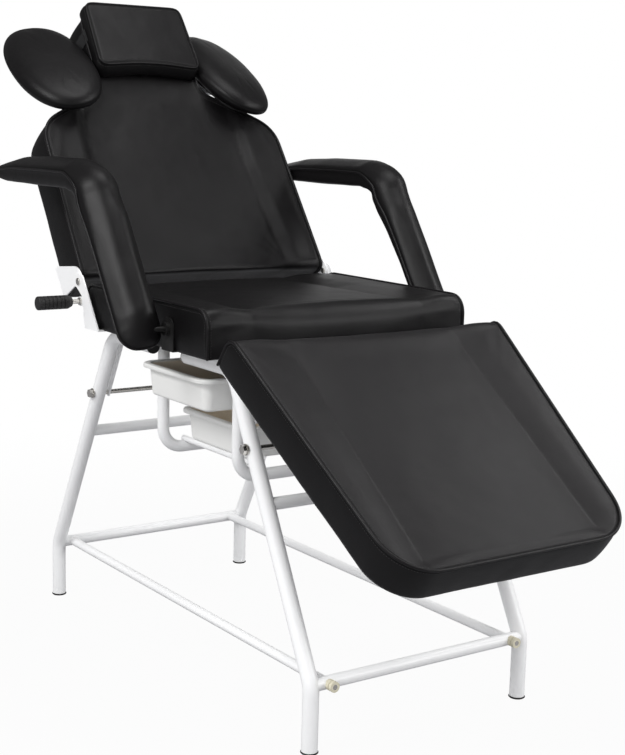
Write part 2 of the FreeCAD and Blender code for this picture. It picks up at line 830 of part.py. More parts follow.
# Ratchet teeth around the pivot, below it as the back stands, with a plain wing behind them.
def make_sector():
    root_r = sector_tip_r - tooth_depth
    points = []

    def polar(radius, angle):
        turn = math.radians(angle)
        return point(pivot_x + radius * math.cos(turn), sector_y, pivot_z + radius * math.sin(turn))

    for i in range(sector_teeth):
        start = sector_first_angle - i * tooth_pitch_angle
        points.append(polar(root_r, start))
        points.append(polar(sector_tip_r, start - tooth_pitch_angle * tooth_rise_share))
        points.append(polar(sector_tip_r, start - tooth_pitch_angle * tooth_tip_share))
    last = sector_first_angle - sector_teeth * tooth_pitch_angle
    points.append(polar(sector_tip_r, last))
    points.append(polar(sector_wing_r, last))
    wing_end = last - sector_wing_angle
    points.append(polar(sector_wing_r, wing_end))
    inner_r = pivot_r + (root_r - pivot_r) / 2
    points.append(polar(inner_r, wing_end))
    points.append(polar(inner_r, wing_end - sector_back_angle))
    points.append(polar(inner_r, sector_first_angle + sector_back_angle))
    points.append(polar(inner_r, sector_first_angle))
    face = Part.Face(Part.makePolygon(points + points[:1]))
    sector = face.extrude(along_y * sector_t)
    bore_r = pivot_r + running_gap
    return sector.cut(rod_along_y(pivot_x, pivot_z, bore_r, sector_y - overrun, arm_y + overrun))


def make_back_arms():
    arm = turn_back(make_back_arm())
    save("back_arm_near", [mirrored(arm)])
    save("back_arm_far", [arm])
    save("ratchet_sector", [mirrored(make_sector())])


# Release lever: a shaft through the near plate, its pawl at the teeth and a ribbed grip outside
shaft_tail = 6.7
shaft_reach = 93.3
shaft_inner_y = sector_y - shaft_tail
shaft_outer_y = sector_y + shaft_reach
pawl_hub_r = 8.0
pawl_gap = 0.4
pawl_nose_width = 5.0
grip_from_sector = 30.3
grip_length = 77.0
grip_start_y = sector_y + grip_from_sector
grip_end_y = grip_start_y + grip_length
grip_r = 14.5
grip_neck_r = 10.0
grip_neck_length = 9.0
grip_rib_step = 9.0
grip_rib_width = 3.0
grip_rib_depth = 1.0
collar_t = 3.0
collar_r = 8.0


def make_release_shaft():
    shaft = rod_along_y(shaft_x, shaft_z, shaft_r, shaft_inner_y, shaft_outer_y)
    hub = rod_along_y(shaft_x, shaft_z, pawl_hub_r, sector_y, arm_y)
    distance = math.hypot(shaft_ahead, shaft_below)
    nose_length = distance - sector_tip_r - pawl_gap
    half = pawl_nose_width / 2
    nose = box_between(shaft_x - half, shaft_x + half, sector_y, arm_y, shaft_z, shaft_z + nose_length)
    lean = math.degrees(math.atan2(shaft_ahead, shaft_below))
    nose.rotate(point(shaft_x, 0, shaft_z), along_y, -lean)
    collar_y = plate_y + plate_t + plate_gap
    collar = rod_along_y(shaft_x, shaft_z, collar_r, collar_y, collar_y + collar_t)
    shape = shaft.fuse(hub).fuse(nose).fuse(collar).removeSplitter()
    return shape


def make_grip():
    body = rod_along_y(shaft_x, shaft_z, grip_r, grip_start_y + grip_neck_length, grip_end_y)
    outer_edge = max(body.Edges, key=lambda edge: edge.CenterOfMass.y)
    body = body.makeFillet(grip_neck_length / 3, [outer_edge])
    neck = Part.makeCone(grip_neck_r, grip_r, grip_neck_length,
                         point(shaft_x, grip_start_y, shaft_z), along_y)
    body = body.fuse(neck)
    rib_y = grip_start_y + grip_neck_length + grip_rib_step
    while rib_y < grip_end_y - grip_rib_step:
        groove = rod_along_y(shaft_x, shaft_z, grip_r + overrun, rib_y, rib_y + grip_rib_width)
        groove = groove.cut(rod_along_y(shaft_x, shaft_z, grip_r - grip_rib_depth, rib_y,
                                        rib_y + grip_rib_width))
        body = body.cut(groove)
        rib_y += grip_rib_step
    return body.cut(rod_along_y(shaft_x, shaft_z, shaft_r, grip_start_y - overrun, shaft_outer_y))


def make_release_lever():
    save("release_shaft", [mirrored(make_release_shaft())])
    save("release_grip", [mirrored(make_grip())])


# Small pillow on the neck, held by a strap round it
pillow_overhang = 2.0
pillow_half_width = neck_half_width + pillow_overhang
pillow_length = 186.0
pillow_beyond_head = 14.0
pillow_h = 34.0
pillow_crown = 9.0
pillow_edge_in = 14.0
pillow_tuck = 5.0
pillow_end_tuck = 3.0
pillow_end_crown = 0.5
pillow_foot_rise = 1.0
pillow_shoulder_crown = 6.3
strap_width = 32.0
strap_t = 1.5
strap_from_head = 46.0
strap_gap = 0.5


def plain_section(x, half, low_z, edge_z, crown, tuck_in):
    mid_z = (low_z + edge_z) / 2

    def at(y, z):
        return point(x, y, z)

    base = half - tuck_in
    return Part.Wire([
        Part.makeLine(at(-base, low_z), at(base, low_z)),
        Part.Arc(at(base, low_z), at(half, mid_z), at(half - tuck_in, edge_z)).toShape(),
        Part.Arc(at(half - tuck_in, edge_z), at(0, edge_z + crown), at(tuck_in - half, edge_z)).toShape(),
        Part.Arc(at(tuck_in - half, edge_z), at(-half, mid_z), at(-base, low_z)).toShape(),
    ])


panel_top_z = back_top_z - cushion_edge_drop - channel_drop + panel_crown


def make_pillow():
    low_z = panel_top_z + seat_gap
    head_x = back_head_x - pillow_beyond_head
    foot_x = head_x + pillow_length
    top_z = low_z + pillow_h
    half = pillow_half_width
    end_half = half - pillow_edge_in
    end_top = top_z - pillow_h / 3
    sections = [
        plain_section(head_x, end_half, low_z + pillow_h / 3, end_top, pillow_end_crown, pillow_end_tuck),
        plain_section(head_x + pillow_edge_in, half, low_z, top_z, pillow_shoulder_crown, pillow_tuck),
        plain_section((head_x + foot_x) / 2, half, low_z, top_z, pillow_crown, pillow_tuck),
        plain_section(foot_x - pillow_edge_in, half, low_z, top_z, pillow_shoulder_crown, pillow_tuck),
        plain_section(foot_x, end_half, low_z + pillow_foot_rise, end_top, pillow_end_crown, pillow_end_tuck),
    ]
    return Part.makeLoft(sections, True, True)


def make_strap(pillow):
    x_low = back_head_x + strap_from_head
    x_high = x_low + strap_width
    half_in = neck_half_width + strap_gap
    half_out = half_in + strap_t
    low_in = back_bottom_z - strap_gap
    low_out = low_in - strap_t
    top_out = panel_top_z + seat_gap + pillow_h / 3
    outer = box_between(x_low, x_high, -half_out, half_out, low_out, top_out)
    inner = box_between(x_low - overrun, x_high + overrun, -half_in, half_in, low_in, top_out + overrun)
    return outer.cut(inner).cut(pillow)


def make_headrest():
    pillow = make_pillow()
    strap = make_strap(pillow)
    save("headrest_pillow", [turn_back(pillow)])
    save("pillow_strap", [turn_back(strap)])


# Ear pads on rods beside the neck: long ovals, tilted more level than the back
ear_half_length = 165.0
ear_half_width = 92.0
ear_end_r = 62.0
ear_thickness = 59.0
ear_board_t = 9.0
ear_pitch = 25.0
ear_droop = 11.0
ear_from_neck = 96.8
ear_middle_y = neck_half_width + ear_from_neck
ear_board_drop = 17.8
ear_clamp_r = 9.0
ear_clamp_gap = 30.0
ear_clamp_length = 86.0
ear_clamp_start = neck_half_width + ear_clamp_gap
ear_clamp_end = ear_clamp_start + ear_clamp_length
ear_plate_t = 3.0
ear_plate_half_x = 24.0
ear_web_t = 8.0
ear_rod_inner = 8.0
ear_rod_tip = 6.0
ear_rod_outer = ear_clamp_end + ear_rod_tip
ear_head_r = 8.0
ear_head_t = 3.0
ear_board_share = 0.78
# Outline scale against height in the pad's cushion, both as shares of its full size.
ear_form_shares = (
    (0.0, 0.87),
    (0.1, 0.95),
    (0.28, 1.0),
    (0.55, 0.97),
    (0.8, 0.85),
    (0.95, 0.66),
    (1.0, 0.48),
)


# A four-arc oval around the pad's middle.
def ear_oval(scale, z):
    half_a = ear_half_length * scale
    half_b = ear_half_width * scale
    end_r = ear_end_r * scale
    side_r = ((half_a - end_r) ** 2 + half_b ** 2 - end_r ** 2) / (2 * (half_b - end_r))
    end_middle = half_a - end_r
    side_middle = half_b - side_r
    reach = math.hypot(end_middle, side_middle)
    join_x = end_middle + end_r * end_middle / reach
    join_y = -end_r * side_middle / reach

    def at(x, y):
        return point(x, y, z)

    return Part.Wire([
        Part.Arc(at(join_x, -join_y), at(half_a, 0), at(join_x, join_y)).toShape(),
        Part.Arc(at(join_x, join_y), at(0, half_b), at(-join_x, join_y)).toShape(),
        Part.Arc(at(-join_x, join_y), at(-half_a, 0), at(-join_x, -join_y)).toShape(),
        Part.Arc(at(-join_x, -join_y), at(0, -half_b), at(join_x, -join_y)).toShape(),
    ])


# The far pad is built around its middle, drooped outwards, then set on the rod and pitched about it.
def set_ear(shape):
    rod_drop = ear_thickness / 2 + ear_board_drop
    shape.rotate(point(0, 0, 0), along_x, -ear_droop)
    shape.translate(point(ear_rod_x, ear_middle_y, ear_rod_z + rod_drop))
    return pitch_ear(shape)


def pitch_ear(shape):
    shape.rotate(point(ear_rod_x, 0, ear_rod_z), along_y, -ear_pitch)
    return turn_back(shape)


def make_ear_bracket():
    half_t = ear_thickness / 2
    plate_low = -half_t - ear_plate_t
    plate = box_between(-ear_plate_half_x, ear_plate_half_x, ear_clamp_start - ear_middle_y,
                        ear_clamp_end - ear_middle_y, plate_low, -half_t)
    web = box_between(-ear_web_t / 2, ear_web_t / 2, ear_clamp_start - ear_middle_y,
                      ear_clamp_end - ear_middle_y, plate_low - ear_board_drop * 2, plate_low)
    holder = plate.fuse(web)
    rod_drop = half_t + ear_board_drop
    holder.rotate(point(0, 0, 0), along_x, -ear_droop)
    holder.translate(point(ear_rod_x, ear_middle_y, ear_rod_z + rod_drop))
    under = box_between(ear_rod_x - ear_half_length, ear_rod_x + ear_half_length, 0, leg_spacing,
                        0, ear_rod_z)
    holder = holder.cut(under)
    sleeve = rod_along_y(ear_rod_x, ear_rod_z, ear_clamp_r, ear_clamp_start, ear_clamp_end)
    holder = holder.fuse(sleeve)
    board = ear_board_blank()
    holder = holder.cut(board)
    bore_r = ear_rod_r + running_gap
    holder = holder.cut(rod_along_y(ear_rod_x, ear_rod_z, bore_r, 0, leg_spacing))
    holder = max(holder.Solids, key=lambda solid: solid.Volume)
    return pitch_ear(holder.removeSplitter())


def ear_board_blank():
    half_t = ear_thickness / 2
    board = Part.Face(ear_oval(ear_board_share, -half_t)).extrude(along_z * ear_board_t)
    board.rotate(point(0, 0, 0), along_x, -ear_droop)
    board.translate(point(ear_rod_x, ear_middle_y, ear_rod_z + half_t + ear_board_drop))
    return board


def make_ear_pad():
    half_t = ear_thickness / 2
    board = pitch_ear(ear_board_blank())
    pad_low = -half_t + ear_board_t
    pad_h = ear_thickness - ear_board_t
    wires = [ear_oval(scale, pad_low + pad_h * height) for height, scale in ear_form_shares]
    cushion = set_ear(Part.makeLoft(wires, True, True))
    return board, cushion


def make_ear_rod():
    rod = rod_along_y(ear_rod_x, ear_rod_z, ear_rod_r, ear_rod_inner, ear_rod_outer)
    head = rod_along_y(ear_rod_x, ear_rod_z, ear_head_r, ear_rod_outer, ear_rod_outer + ear_head_t)
    return turn_back(rod.fuse(head).removeSplitter())


def make_ears():
    board, cushion = make_ear_pad()
    bracket = make_ear_bracket()
    rod = make_ear_rod()
    for side, name in ((near, "near"), (far, "far")):
        save("ear_pad_board_" + name, [on_side(board, side)])
        save("ear_pad_cushion_" + name, [on_side(cushion, side)])
        save("ear_pad_bracket_" + name, [on_side(bracket, side)])
        save("ear_rod_" + name, [on_side(rod, side)])


# Leg rest, built flat: it swings on lugs at the top bends of the front legs
leg_thickness = 73.0
leg_board_t = 10.0
leg_gap = 27.4
leg_taper = 48.0
leg_end_half_width = leg_half_width - leg_taper
leg_front_r = 92.0
leg_rear_r = 6.0
leg_roll_r = 22.0
leg_wing_width = 114.0
leg_channel = leg_half_width - leg_wing_width
legrest_pivot_ahead = 5.0
legrest_start_x = seat_front_x + leg_gap
legrest_end_x = legrest_start_x + leg_length
legrest_bottom_z = bed_top_z - leg_thickness
front_corner_x = base_middle_x + foot_half_x - leg_run
legrest_pivot_x = front_corner_x + legrest_pivot_ahead
legrest_pivot_z = rail_z
lug_t = 5.0
lug_sink = 1.0
lug_r = 13.0
lug_back = 34.0
legrest_arm_t = 4.0
legrest_arm_reach = 96.0
legrest_pin_r = 4.0
legrest_pin_head_r = 7.0
legrest_pin_head_t = 3.0


def legrest_corners(inset):
    start = legrest_start_x + inset
    end = legrest_end_x - inset
    wide = leg_half_width - inset
    narrow = leg_end_half_width - inset
    return [(start, -wide), (end, -narrow), (end, narrow), (start, wide)]


def legrest_radii(inset):
    return [leg_rear_r, leg_front_r - inset, leg_front_r - inset, leg_rear_r]


def turn_legrest(shape):
    shape.rotate(point(legrest_pivot_x, 0, legrest_pivot_z), along_y, legrest_angle)
    return shape


def make_legrest_pads():
    board_top = legrest_bottom_z + leg_board_t
    board = flat_slab(legrest_corners(board_inset), legrest_radii(board_inset), legrest_bottom_z, board_top)
    save("leg_board", [turn_legrest(board)])
    stations = [
        (legrest_start_x, leg_half_width, leg_channel),
        ((legrest_start_x + legrest_end_x) / 2, (leg_half_width + leg_end_half_width) / 2, leg_channel),
        (legrest_end_x, leg_end_half_width, leg_channel),
    ]
    edge_z = bed_top_z - cushion_edge_drop
    body = cushion_body(stations, board_top, edge_z, (leg_roll_r, 0))
    plan = flat_slab(legrest_corners(0), legrest_radii(0), board_top, bed_top_z + leg_thickness)
    save("leg_cushion", [turn_legrest(body.common(plan))])


lug_outer_y = leg_half_y - leg_r + lug_sink
lug_inner_y = lug_outer_y - lug_t
legrest_arm_outer_y = lug_inner_y - plate_gap
legrest_arm_inner_y = legrest_arm_outer_y - legrest_arm_t


def make_lug(leg_outer):
    corners = [
        (legrest_pivot_x - lug_back, legrest_pivot_z - lug_r),
        (legrest_pivot_x + lug_r, legrest_pivot_z - lug_back),
        (legrest_pivot_x + lug_r, legrest_pivot_z + lug_r),
        (legrest_pivot_x - lug_back / 2, legrest_pivot_z + lug_r),
    ]
    lug = side_plate(corners, [0, 0, lug_r, 0], lug_inner_y, lug_outer_y)
    lug = lug.cut(leg_outer)
    lug = max(lug.Solids, key=lambda solid: solid.Volume)
    return lug.cut(rod_along_y(legrest_pivot_x, legrest_pivot_z, legrest_pin_r, 0, leg_half_y))


def make_legrest_arm():
    low_z = legrest_bottom_z - flange_t
    corners = [
        (legrest_pivot_x - lug_r, legrest_pivot_z - lug_r),
        (legrest_pivot_x + lug_r, legrest_pivot_z - lug_r),
        (legrest_start_x + legrest_arm_reach, low_z),
        (legrest_start_x + legrest_arm_reach, legrest_bottom_z),
        (legrest_start_x + board_inset, legrest_bottom_z),
        (legrest_pivot_x - lug_r, legrest_pivot_z + lug_r),
    ]
    radii = [lug_r * near_round, lug_r / 2, 0, 0, 0, lug_r]
    arm = side_plate(corners, radii, legrest_arm_inner_y, legrest_arm_outer_y)
    flange = box_between(legrest_start_x + board_inset * 2, legrest_start_x + legrest_arm_reach,
                         legrest_arm_outer_y - flange_width, legrest_arm_outer_y,
                         low_z, legrest_bottom_z)
    arm = arm.fuse(flange)
    bore_r = legrest_pin_r + running_gap
    arm = arm.cut(rod_along_y(legrest_pivot_x, legrest_pivot_z, bore_r, 0, leg_half_y))
    return turn_legrest(arm.removeSplitter())


def make_legrest_pin(leg_outer):
    inner = legrest_arm_inner_y - plate_gap
    shank = rod_along_y(legrest_pivot_x, legrest_pivot_z, legrest_pin_r, inner, lug_outer_y)
    head = rod_along_y(legrest_pivot_x, legrest_pivot_z, legrest_pin_head_r,
                       inner - legrest_pin_head_t, inner)
    return shank.fuse(head).removeSplitter().cut(leg_outer)


# Notched bar that props the leg rest: it hangs from a bracket under the board and slides
# over the front tie rod in a guide. Pivot, tie rod and bracket make equal arms.
prop_arm = math.hypot(tie_rod_x[far] - legrest_pivot_x, legrest_pivot_z - tie_rod_z)
prop_depth = 12.0
prop_bracket_z = legrest_bottom_z - prop_depth
prop_bracket_x = legrest_pivot_x + math.sqrt(prop_arm ** 2 - (prop_bracket_z - legrest_pivot_z) ** 2)
bar_t = 4.0
bar_height = 18.0
bar_length = 204.0
bar_rod_gap = 0.5
bar_eye_r = 9.0
bar_pin_r = 4.0
bar_pin_head_r = 5.0
bar_pin_head_t = 2.0
notch_r = 5.5
notch_step = 14.0
notch_count = 8
notch_start = 64.0
cheek_gap = 0.5
cheek_t = 3.0
guide_half_width = 11.0
guide_bridge_t = 3.0
bracket_half_length = 16.0


def turned(x, z, middle_x, middle_z, angle):
    turn = math.radians(angle)
    dx = x - middle_x
    dz = z - middle_z
    turned_x = middle_x + dx * math.cos(turn) + dz * math.sin(turn)
    turned_z = middle_z + dz * math.cos(turn) - dx * math.sin(turn)
    return turned_x, turned_z


# The prop's pivot as the chair stands, and the direction from it to the tie rod.
prop_x, prop_z = turned(prop_bracket_x, prop_bracket_z, legrest_pivot_x, legrest_pivot_z, legrest_angle)
prop_lean = math.degrees(math.atan2(prop_z - tie_rod_z, prop_x - tie_rod_x[far]))


# Built along X from the tie rod at the origin, then leaned and carried to the tie rod.
def set_on_rod(shape):
    shape.rotate(point(0, 0, 0), along_y, -prop_lean)
    shape.translate(point(tie_rod_x[far], 0, tie_rod_z))
    return shape


def make_ratchet_bar():
    reach = math.hypot(prop_x - tie_rod_x[far], prop_z - tie_rod_z)
    low = tie_rod_d / 2 + bar_rod_gap
    high = low + bar_height
    end_x = reach - bar_length
    corners = [(end_x, low), (reach - bar_eye_r, low), (reach - bar_eye_r, high), (end_x, high)]
    bar = side_plate(corners, [bar_eye_r / 3] + [0, 0] + [bar_eye_r / 3], -bar_t / 2, bar_t / 2)
    eye = side_plate([
        (reach - 2 * bar_eye_r, high),
        (reach - 2 * bar_eye_r, low),
        (reach - bar_eye_r, -bar_eye_r),
        (reach + bar_eye_r, -bar_eye_r),
        (reach + bar_eye_r, bar_eye_r),
    ], [0, bar_eye_r / 3] + [bar_eye_r * near_round] * 3, -bar_t / 2, bar_t / 2)
    bar = bar.fuse(eye)
    for i in range(notch_count):
        x = reach - notch_start - i * notch_step
        bar = bar.cut(rod_along_y(x, low - notch_r / 3, notch_r, -bar_t, bar_t))
    bore_r = bar_pin_r + running_gap
    bar = bar.cut(rod_along_y(reach, 0, bore_r, -bar_t, bar_t))
    return set_on_rod(bar.removeSplitter())


def make_bar_guide():
    inner = bar_t / 2 + cheek_gap
    outer = inner + cheek_t
    low = tie_rod_d / 2 + bar_rod_gap
    top = low + bar_height + cheek_gap
    half = guide_half_width
    corners = [(-half, -half), (half, -half), (half, top + guide_bridge_t), (-half, top + guide_bridge_t)]
    block = side_plate(corners, [half * near_round, half * near_round, 0, 0], -outer, outer)
    slot = box_between(-half - overrun, half + overrun, -inner, inner, -half - overrun, top)
    bore_r = tie_rod_d / 2 + running_gap
    bore = rod_along_y(0, 0, bore_r, -outer - overrun, outer + overrun)
    return set_on_rod(block.cut(slot).cut(bore))


def make_prop_bracket():
    inner = bar_t / 2 + cheek_gap
    outer = inner + cheek_t
    low = prop_bracket_z - bar_eye_r
    top = legrest_bottom_z
    cheek = side_plate([
        (prop_bracket_x - bracket_half_length, top),
        (prop_bracket_x - bar_eye_r, low),
        (prop_bracket_x + bar_eye_r, low),
        (prop_bracket_x + bracket_half_length, top),
    ], [0, bar_eye_r / 2, bar_eye_r / 2, 0], inner, outer)
    foot = box_between(prop_bracket_x - bracket_half_length, prop_bracket_x + bracket_half_length,
                       inner, outer + bracket_half_length, top - cheek_t, top)
    half_bracket = cheek.fuse(foot).removeSplitter()
    half_bracket = half_bracket.cut(rod_along_y(prop_bracket_x, prop_bracket_z, bar_pin_r, 0, leg_half_y))
    far_half = turn_legrest(half_bracket)
    pin = rod_along_y(prop_bracket_x, prop_bracket_z, bar_pin_r, -outer, outer)
    for side in sides:
        head = rod_along_y(prop_bracket_x, prop_bracket_z, bar_pin_head_r, side * outer,
                           side * (outer + bar_pin_head_t))
        pin = pin.fuse(head)
    return [mirrored(far_half), far_half], turn_legrest(pin.removeSplitter())


def make_legrest():
    make_legrest_pads()
    leg_outer = bent_bar(leg_points(far), leg_radii, leg_r)
    lug = make_lug(leg_outer)
    save("legrest_lugs", [mirrored(lug), lug])
    pin = make_legrest_pin(leg_outer)
    save("legrest_hinge_pins", [mirrored(pin), pin])
    arm = make_legrest_arm()
    save("legrest_arms", [mirrored(arm), arm])
    bracket, prop_pin = make_prop_bracket()
    save("prop_bracket", bracket)
    save("prop_pin", [prop_pin])
    save("legrest_ratchet_bar", [make_ratchet_bar()])
    save("legrest_bar_guide", [make_bar_guide()])


# Arm rests: a padded arm that turns down to a pivot beside the seat
armrest_side_gap = 12.5
armrest_inner_y = seat_half_width + armrest_side_gap
armrest_width = 87.0
armrest_thickness = 52.0
armrest_under_z = 970.0
armrest_back_end_x = -586.0
armrest_bend_x = -133.0
armrest_lean = 34.0
armrest_low_z = 701.0
armrest_end_r = 27.0
armrest_inner_bend_r = 10.0
armrest_side_h = 12.0
armrest_tip_rise = 17.3
armrest_tip_r = 5.8
armrest_tip_slope = 83.2
armrest_tip_plan_r = 40.0
armrest_end_plan_r = 36.0
armrest_end_edge_r = 8.0
armrest_bolt_r = 5.0
armrest_bolt_gap = 0.08
armrest_boss_r = 13.0
armrest_boss_gap = 0.4
armrest_bolt_reach = 30.0
armrest_bracket_gap = 5.0
armrest_bracket_y = seat_half_width + armrest_bracket_gap
armrest_bracket_t = 3.0
armrest_bracket_half = 22.0
armrest_head_r = 9.0
armrest_head_t = 2.0

armrest_run = (armrest_under_z - armrest_low_z) / math.cos(math.radians(armrest_lean))
armrest_down = vec(math.sin(math.radians(armrest_lean)), 0, -math.cos(math.radians(armrest_lean)))
armrest_out = vec(-armrest_down.z, 0, armrest_down.x)
armrest_middle_y = armrest_inner_y + armrest_width / 2
armrest_knee = point(armrest_bend_x, armrest_middle_y, armrest_under_z)
armrest_pivot = armrest_knee + armrest_down * armrest_run + armrest_out * armrest_end_r


# Section of the arm across its length: flat towards the inside of the bend, round outside.
def armrest_section(start):
    half = armrest_width / 2
    top = start.z + armrest_thickness
    step = start.z + armrest_side_h

    def at(y, z):
        return point(start.x, start.y + y, z)

    return Part.Wire([
        Part.makeLine(at(-half, start.z), at(half, start.z)),
        Part.makeLine(at(half, start.z), at(half, step)),
        Part.Arc(at(half, step), at(0, top), at(-half, step)).toShape(),
        Part.makeLine(at(-half, step), at(-half, start.z)),
    ])


# Both ends of the pad are round across its width.
def round_arm_ends(arm, low_end):
    reach = armrest_run * 2
    outer_y = armrest_inner_y + armrest_width
    back_x = armrest_back_end_x
    corners = [(back_x, armrest_inner_y), (back_x + reach, armrest_inner_y), (back_x + reach, outer_y),
               (back_x, outer_y)]
    radii = [armrest_tip_plan_r, 0, 0, armrest_tip_plan_r]
    arm = arm.common(flat_slab(corners, radii, 0, armrest_under_z + reach))
    end = (low_end - armrest_knee).dot(armrest_down)
    corners = [(-reach, armrest_inner_y), (end, armrest_inner_y), (end, outer_y), (-reach, outer_y)]
    radii = [0, armrest_end_plan_r, armrest_end_plan_r, 0]
    form = flat_slab(corners, radii, -reach, reach)
    form.rotate(point(0, 0, 0), along_y, 90 - armrest_lean)
    form.translate(point(armrest_knee.x, 0, armrest_knee.z))
    return arm.common(form)


def make_armrest():
    start = point(armrest_back_end_x, armrest_middle_y, armrest_under_z)
    low_end = armrest_knee + armrest_down * (armrest_run + 2 * armrest_end_r)
    bends = [0, armrest_inner_bend_r, 0]
    path = rounded_wire([start, armrest_knee, low_end], bends, False)
    sweep = path.makePipeShell([armrest_section(start)], True, False)
    tip_z = armrest_under_z + armrest_tip_rise
    top_z = armrest_under_z + armrest_thickness + overrun
    knee_in = armrest_knee - armrest_out * overrun
    knee_out_x = armrest_bend_x + armrest_thickness * 2
    pivot = armrest_pivot
    end_in = pivot - armrest_out * (armrest_end_r + overrun) + armrest_down * (armrest_end_r + overrun)
    end_out = pivot + armrest_out * (armrest_end_r + overrun) + armrest_down * (armrest_end_r + overrun)
    corners = [
        (armrest_back_end_x, tip_z),
        (armrest_back_end_x + armrest_thickness, armrest_under_z - overrun),
        (knee_in.x, armrest_under_z - overrun),
        (end_in.x, end_in.z),
        (end_out.x, end_out.z),
        (knee_out_x, top_z),
        (armrest_back_end_x + armrest_tip_slope, top_z),
    ]
    radii = [armrest_tip_r, armrest_thickness / 2, 0, armrest_end_edge_r, armrest_end_r, 0, armrest_tip_slope]
    side_form = side_plate(corners, radii, armrest_inner_y - overrun,
                           armrest_inner_y + armrest_width + overrun)
    arm = round_arm_ends(sweep.common(side_form), end_out)
    bore_r = armrest_bolt_r + armrest_bolt_gap
    bore_end = armrest_inner_y + armrest_bolt_reach
    bore = rod_along_y(pivot.x, pivot.z, bore_r, armrest_inner_y - overrun, bore_end)
    return arm.cut(bore)


# Plate under the seat board that turns up beside the seat and holds the arm's pivot bolt.
def make_armrest_bracket():
    pivot = armrest_pivot
    low_z = seat_bottom_z - flange_t
    half = armrest_bracket_half
    inner = armrest_bracket_y - armrest_bracket_t
    corners = [(pivot.x - half, low_z), (pivot.x + half, low_z), (pivot.x + half, pivot.z + half),
               (pivot.x - half, pivot.z + half)]
    plate = side_plate(corners, [0, 0, half * near_round, half * near_round], inner, armrest_bracket_y)
    flange = box_between(pivot.x - half, pivot.x + half, armrest_bracket_y - flange_width,
                         armrest_bracket_y, low_z, seat_bottom_z)
    bracket = plate.fuse(flange).removeSplitter()
    hole_end = armrest_bracket_y + overrun
    return bracket.cut(rod_along_y(pivot.x, pivot.z, armrest_bolt_r, inner - overrun, hole_end))


def make_armrest_fixings():
    pivot = armrest_pivot
    inner = armrest_bracket_y - armrest_bracket_t
    spacer_end = armrest_inner_y - armrest_boss_gap
    spacer = rod_along_y(pivot.x, pivot.z, armrest_boss_r, armrest_bracket_y, spacer_end)
    spacer = spacer.cut(rod_along_y(pivot.x, pivot.z, armrest_bolt_r, inner, armrest_inner_y))
    bolt_end = armrest_inner_y + armrest_bolt_reach - seat_gap
    bolt = rod_along_y(pivot.x, pivot.z, armrest_bolt_r, inner - armrest_head_t, bolt_end)
    head = rod_along_y(pivot.x, pivot.z, armrest_head_r, inner - armrest_head_t + seat_gap, inner)
    return spacer, bolt.fuse(head).removeSplitter()


def make_armrests():
    arm = make_armrest()
    save("armrest_near", [mirrored(arm)])
    save("armrest_far", [arm])
    bracket = make_armrest_bracket()
    save("armrest_brackets", [mirrored(bracket), bracket])
    spacer, bolt = make_armrest_fixings()
    save("armrest_spacers", [mirrored(spacer), spacer])
    save("armrest_bolts", [mirrored(bolt), bolt])


make_base_tubes()
make_tie_rod_set()
make_bumpers()
make_tray_frame()
make_trays()
make_seat()
make_saddles()
make_back_pivots()
make_back()
make_back_arms()
make_release_lever()
make_headrest()
make_ears()
make_legrest()
make_armrests()
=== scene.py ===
# Reclining treatment chair: padded back, seat and leg rest on a white tube frame.
# Everything is in metres; cushions are drawn lying flat in millimetres and then put in place.
import json
import math

import bpy
from mathutils import Matrix, Vector, noise
from mathutils.bvhtree import BVHTree
from mathutils.geometry import delaunay_2d_cdt
from mathutils.kdtree import KDTree

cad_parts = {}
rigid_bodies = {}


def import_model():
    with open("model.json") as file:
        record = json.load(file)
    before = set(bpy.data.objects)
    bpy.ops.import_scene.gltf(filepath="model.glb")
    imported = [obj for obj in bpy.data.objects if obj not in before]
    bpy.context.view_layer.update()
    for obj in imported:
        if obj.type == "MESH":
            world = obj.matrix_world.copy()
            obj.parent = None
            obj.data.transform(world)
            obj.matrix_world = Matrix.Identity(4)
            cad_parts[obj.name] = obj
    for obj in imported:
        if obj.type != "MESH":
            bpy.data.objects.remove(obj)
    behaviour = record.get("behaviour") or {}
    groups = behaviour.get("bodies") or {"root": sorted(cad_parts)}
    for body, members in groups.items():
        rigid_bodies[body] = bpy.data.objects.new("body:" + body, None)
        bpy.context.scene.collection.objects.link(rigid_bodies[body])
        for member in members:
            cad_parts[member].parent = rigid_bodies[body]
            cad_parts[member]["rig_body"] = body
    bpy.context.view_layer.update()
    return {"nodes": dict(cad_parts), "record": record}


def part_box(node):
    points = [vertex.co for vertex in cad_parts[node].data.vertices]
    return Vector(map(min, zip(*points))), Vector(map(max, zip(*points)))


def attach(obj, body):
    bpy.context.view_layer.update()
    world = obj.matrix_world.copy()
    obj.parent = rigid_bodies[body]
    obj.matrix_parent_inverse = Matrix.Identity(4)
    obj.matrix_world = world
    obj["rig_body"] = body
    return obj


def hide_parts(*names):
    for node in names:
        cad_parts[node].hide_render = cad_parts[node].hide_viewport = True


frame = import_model()
scene = bpy.context.scene
millimetre = 0.001
print("frame loaded:", len(frame["nodes"]), "nodes")


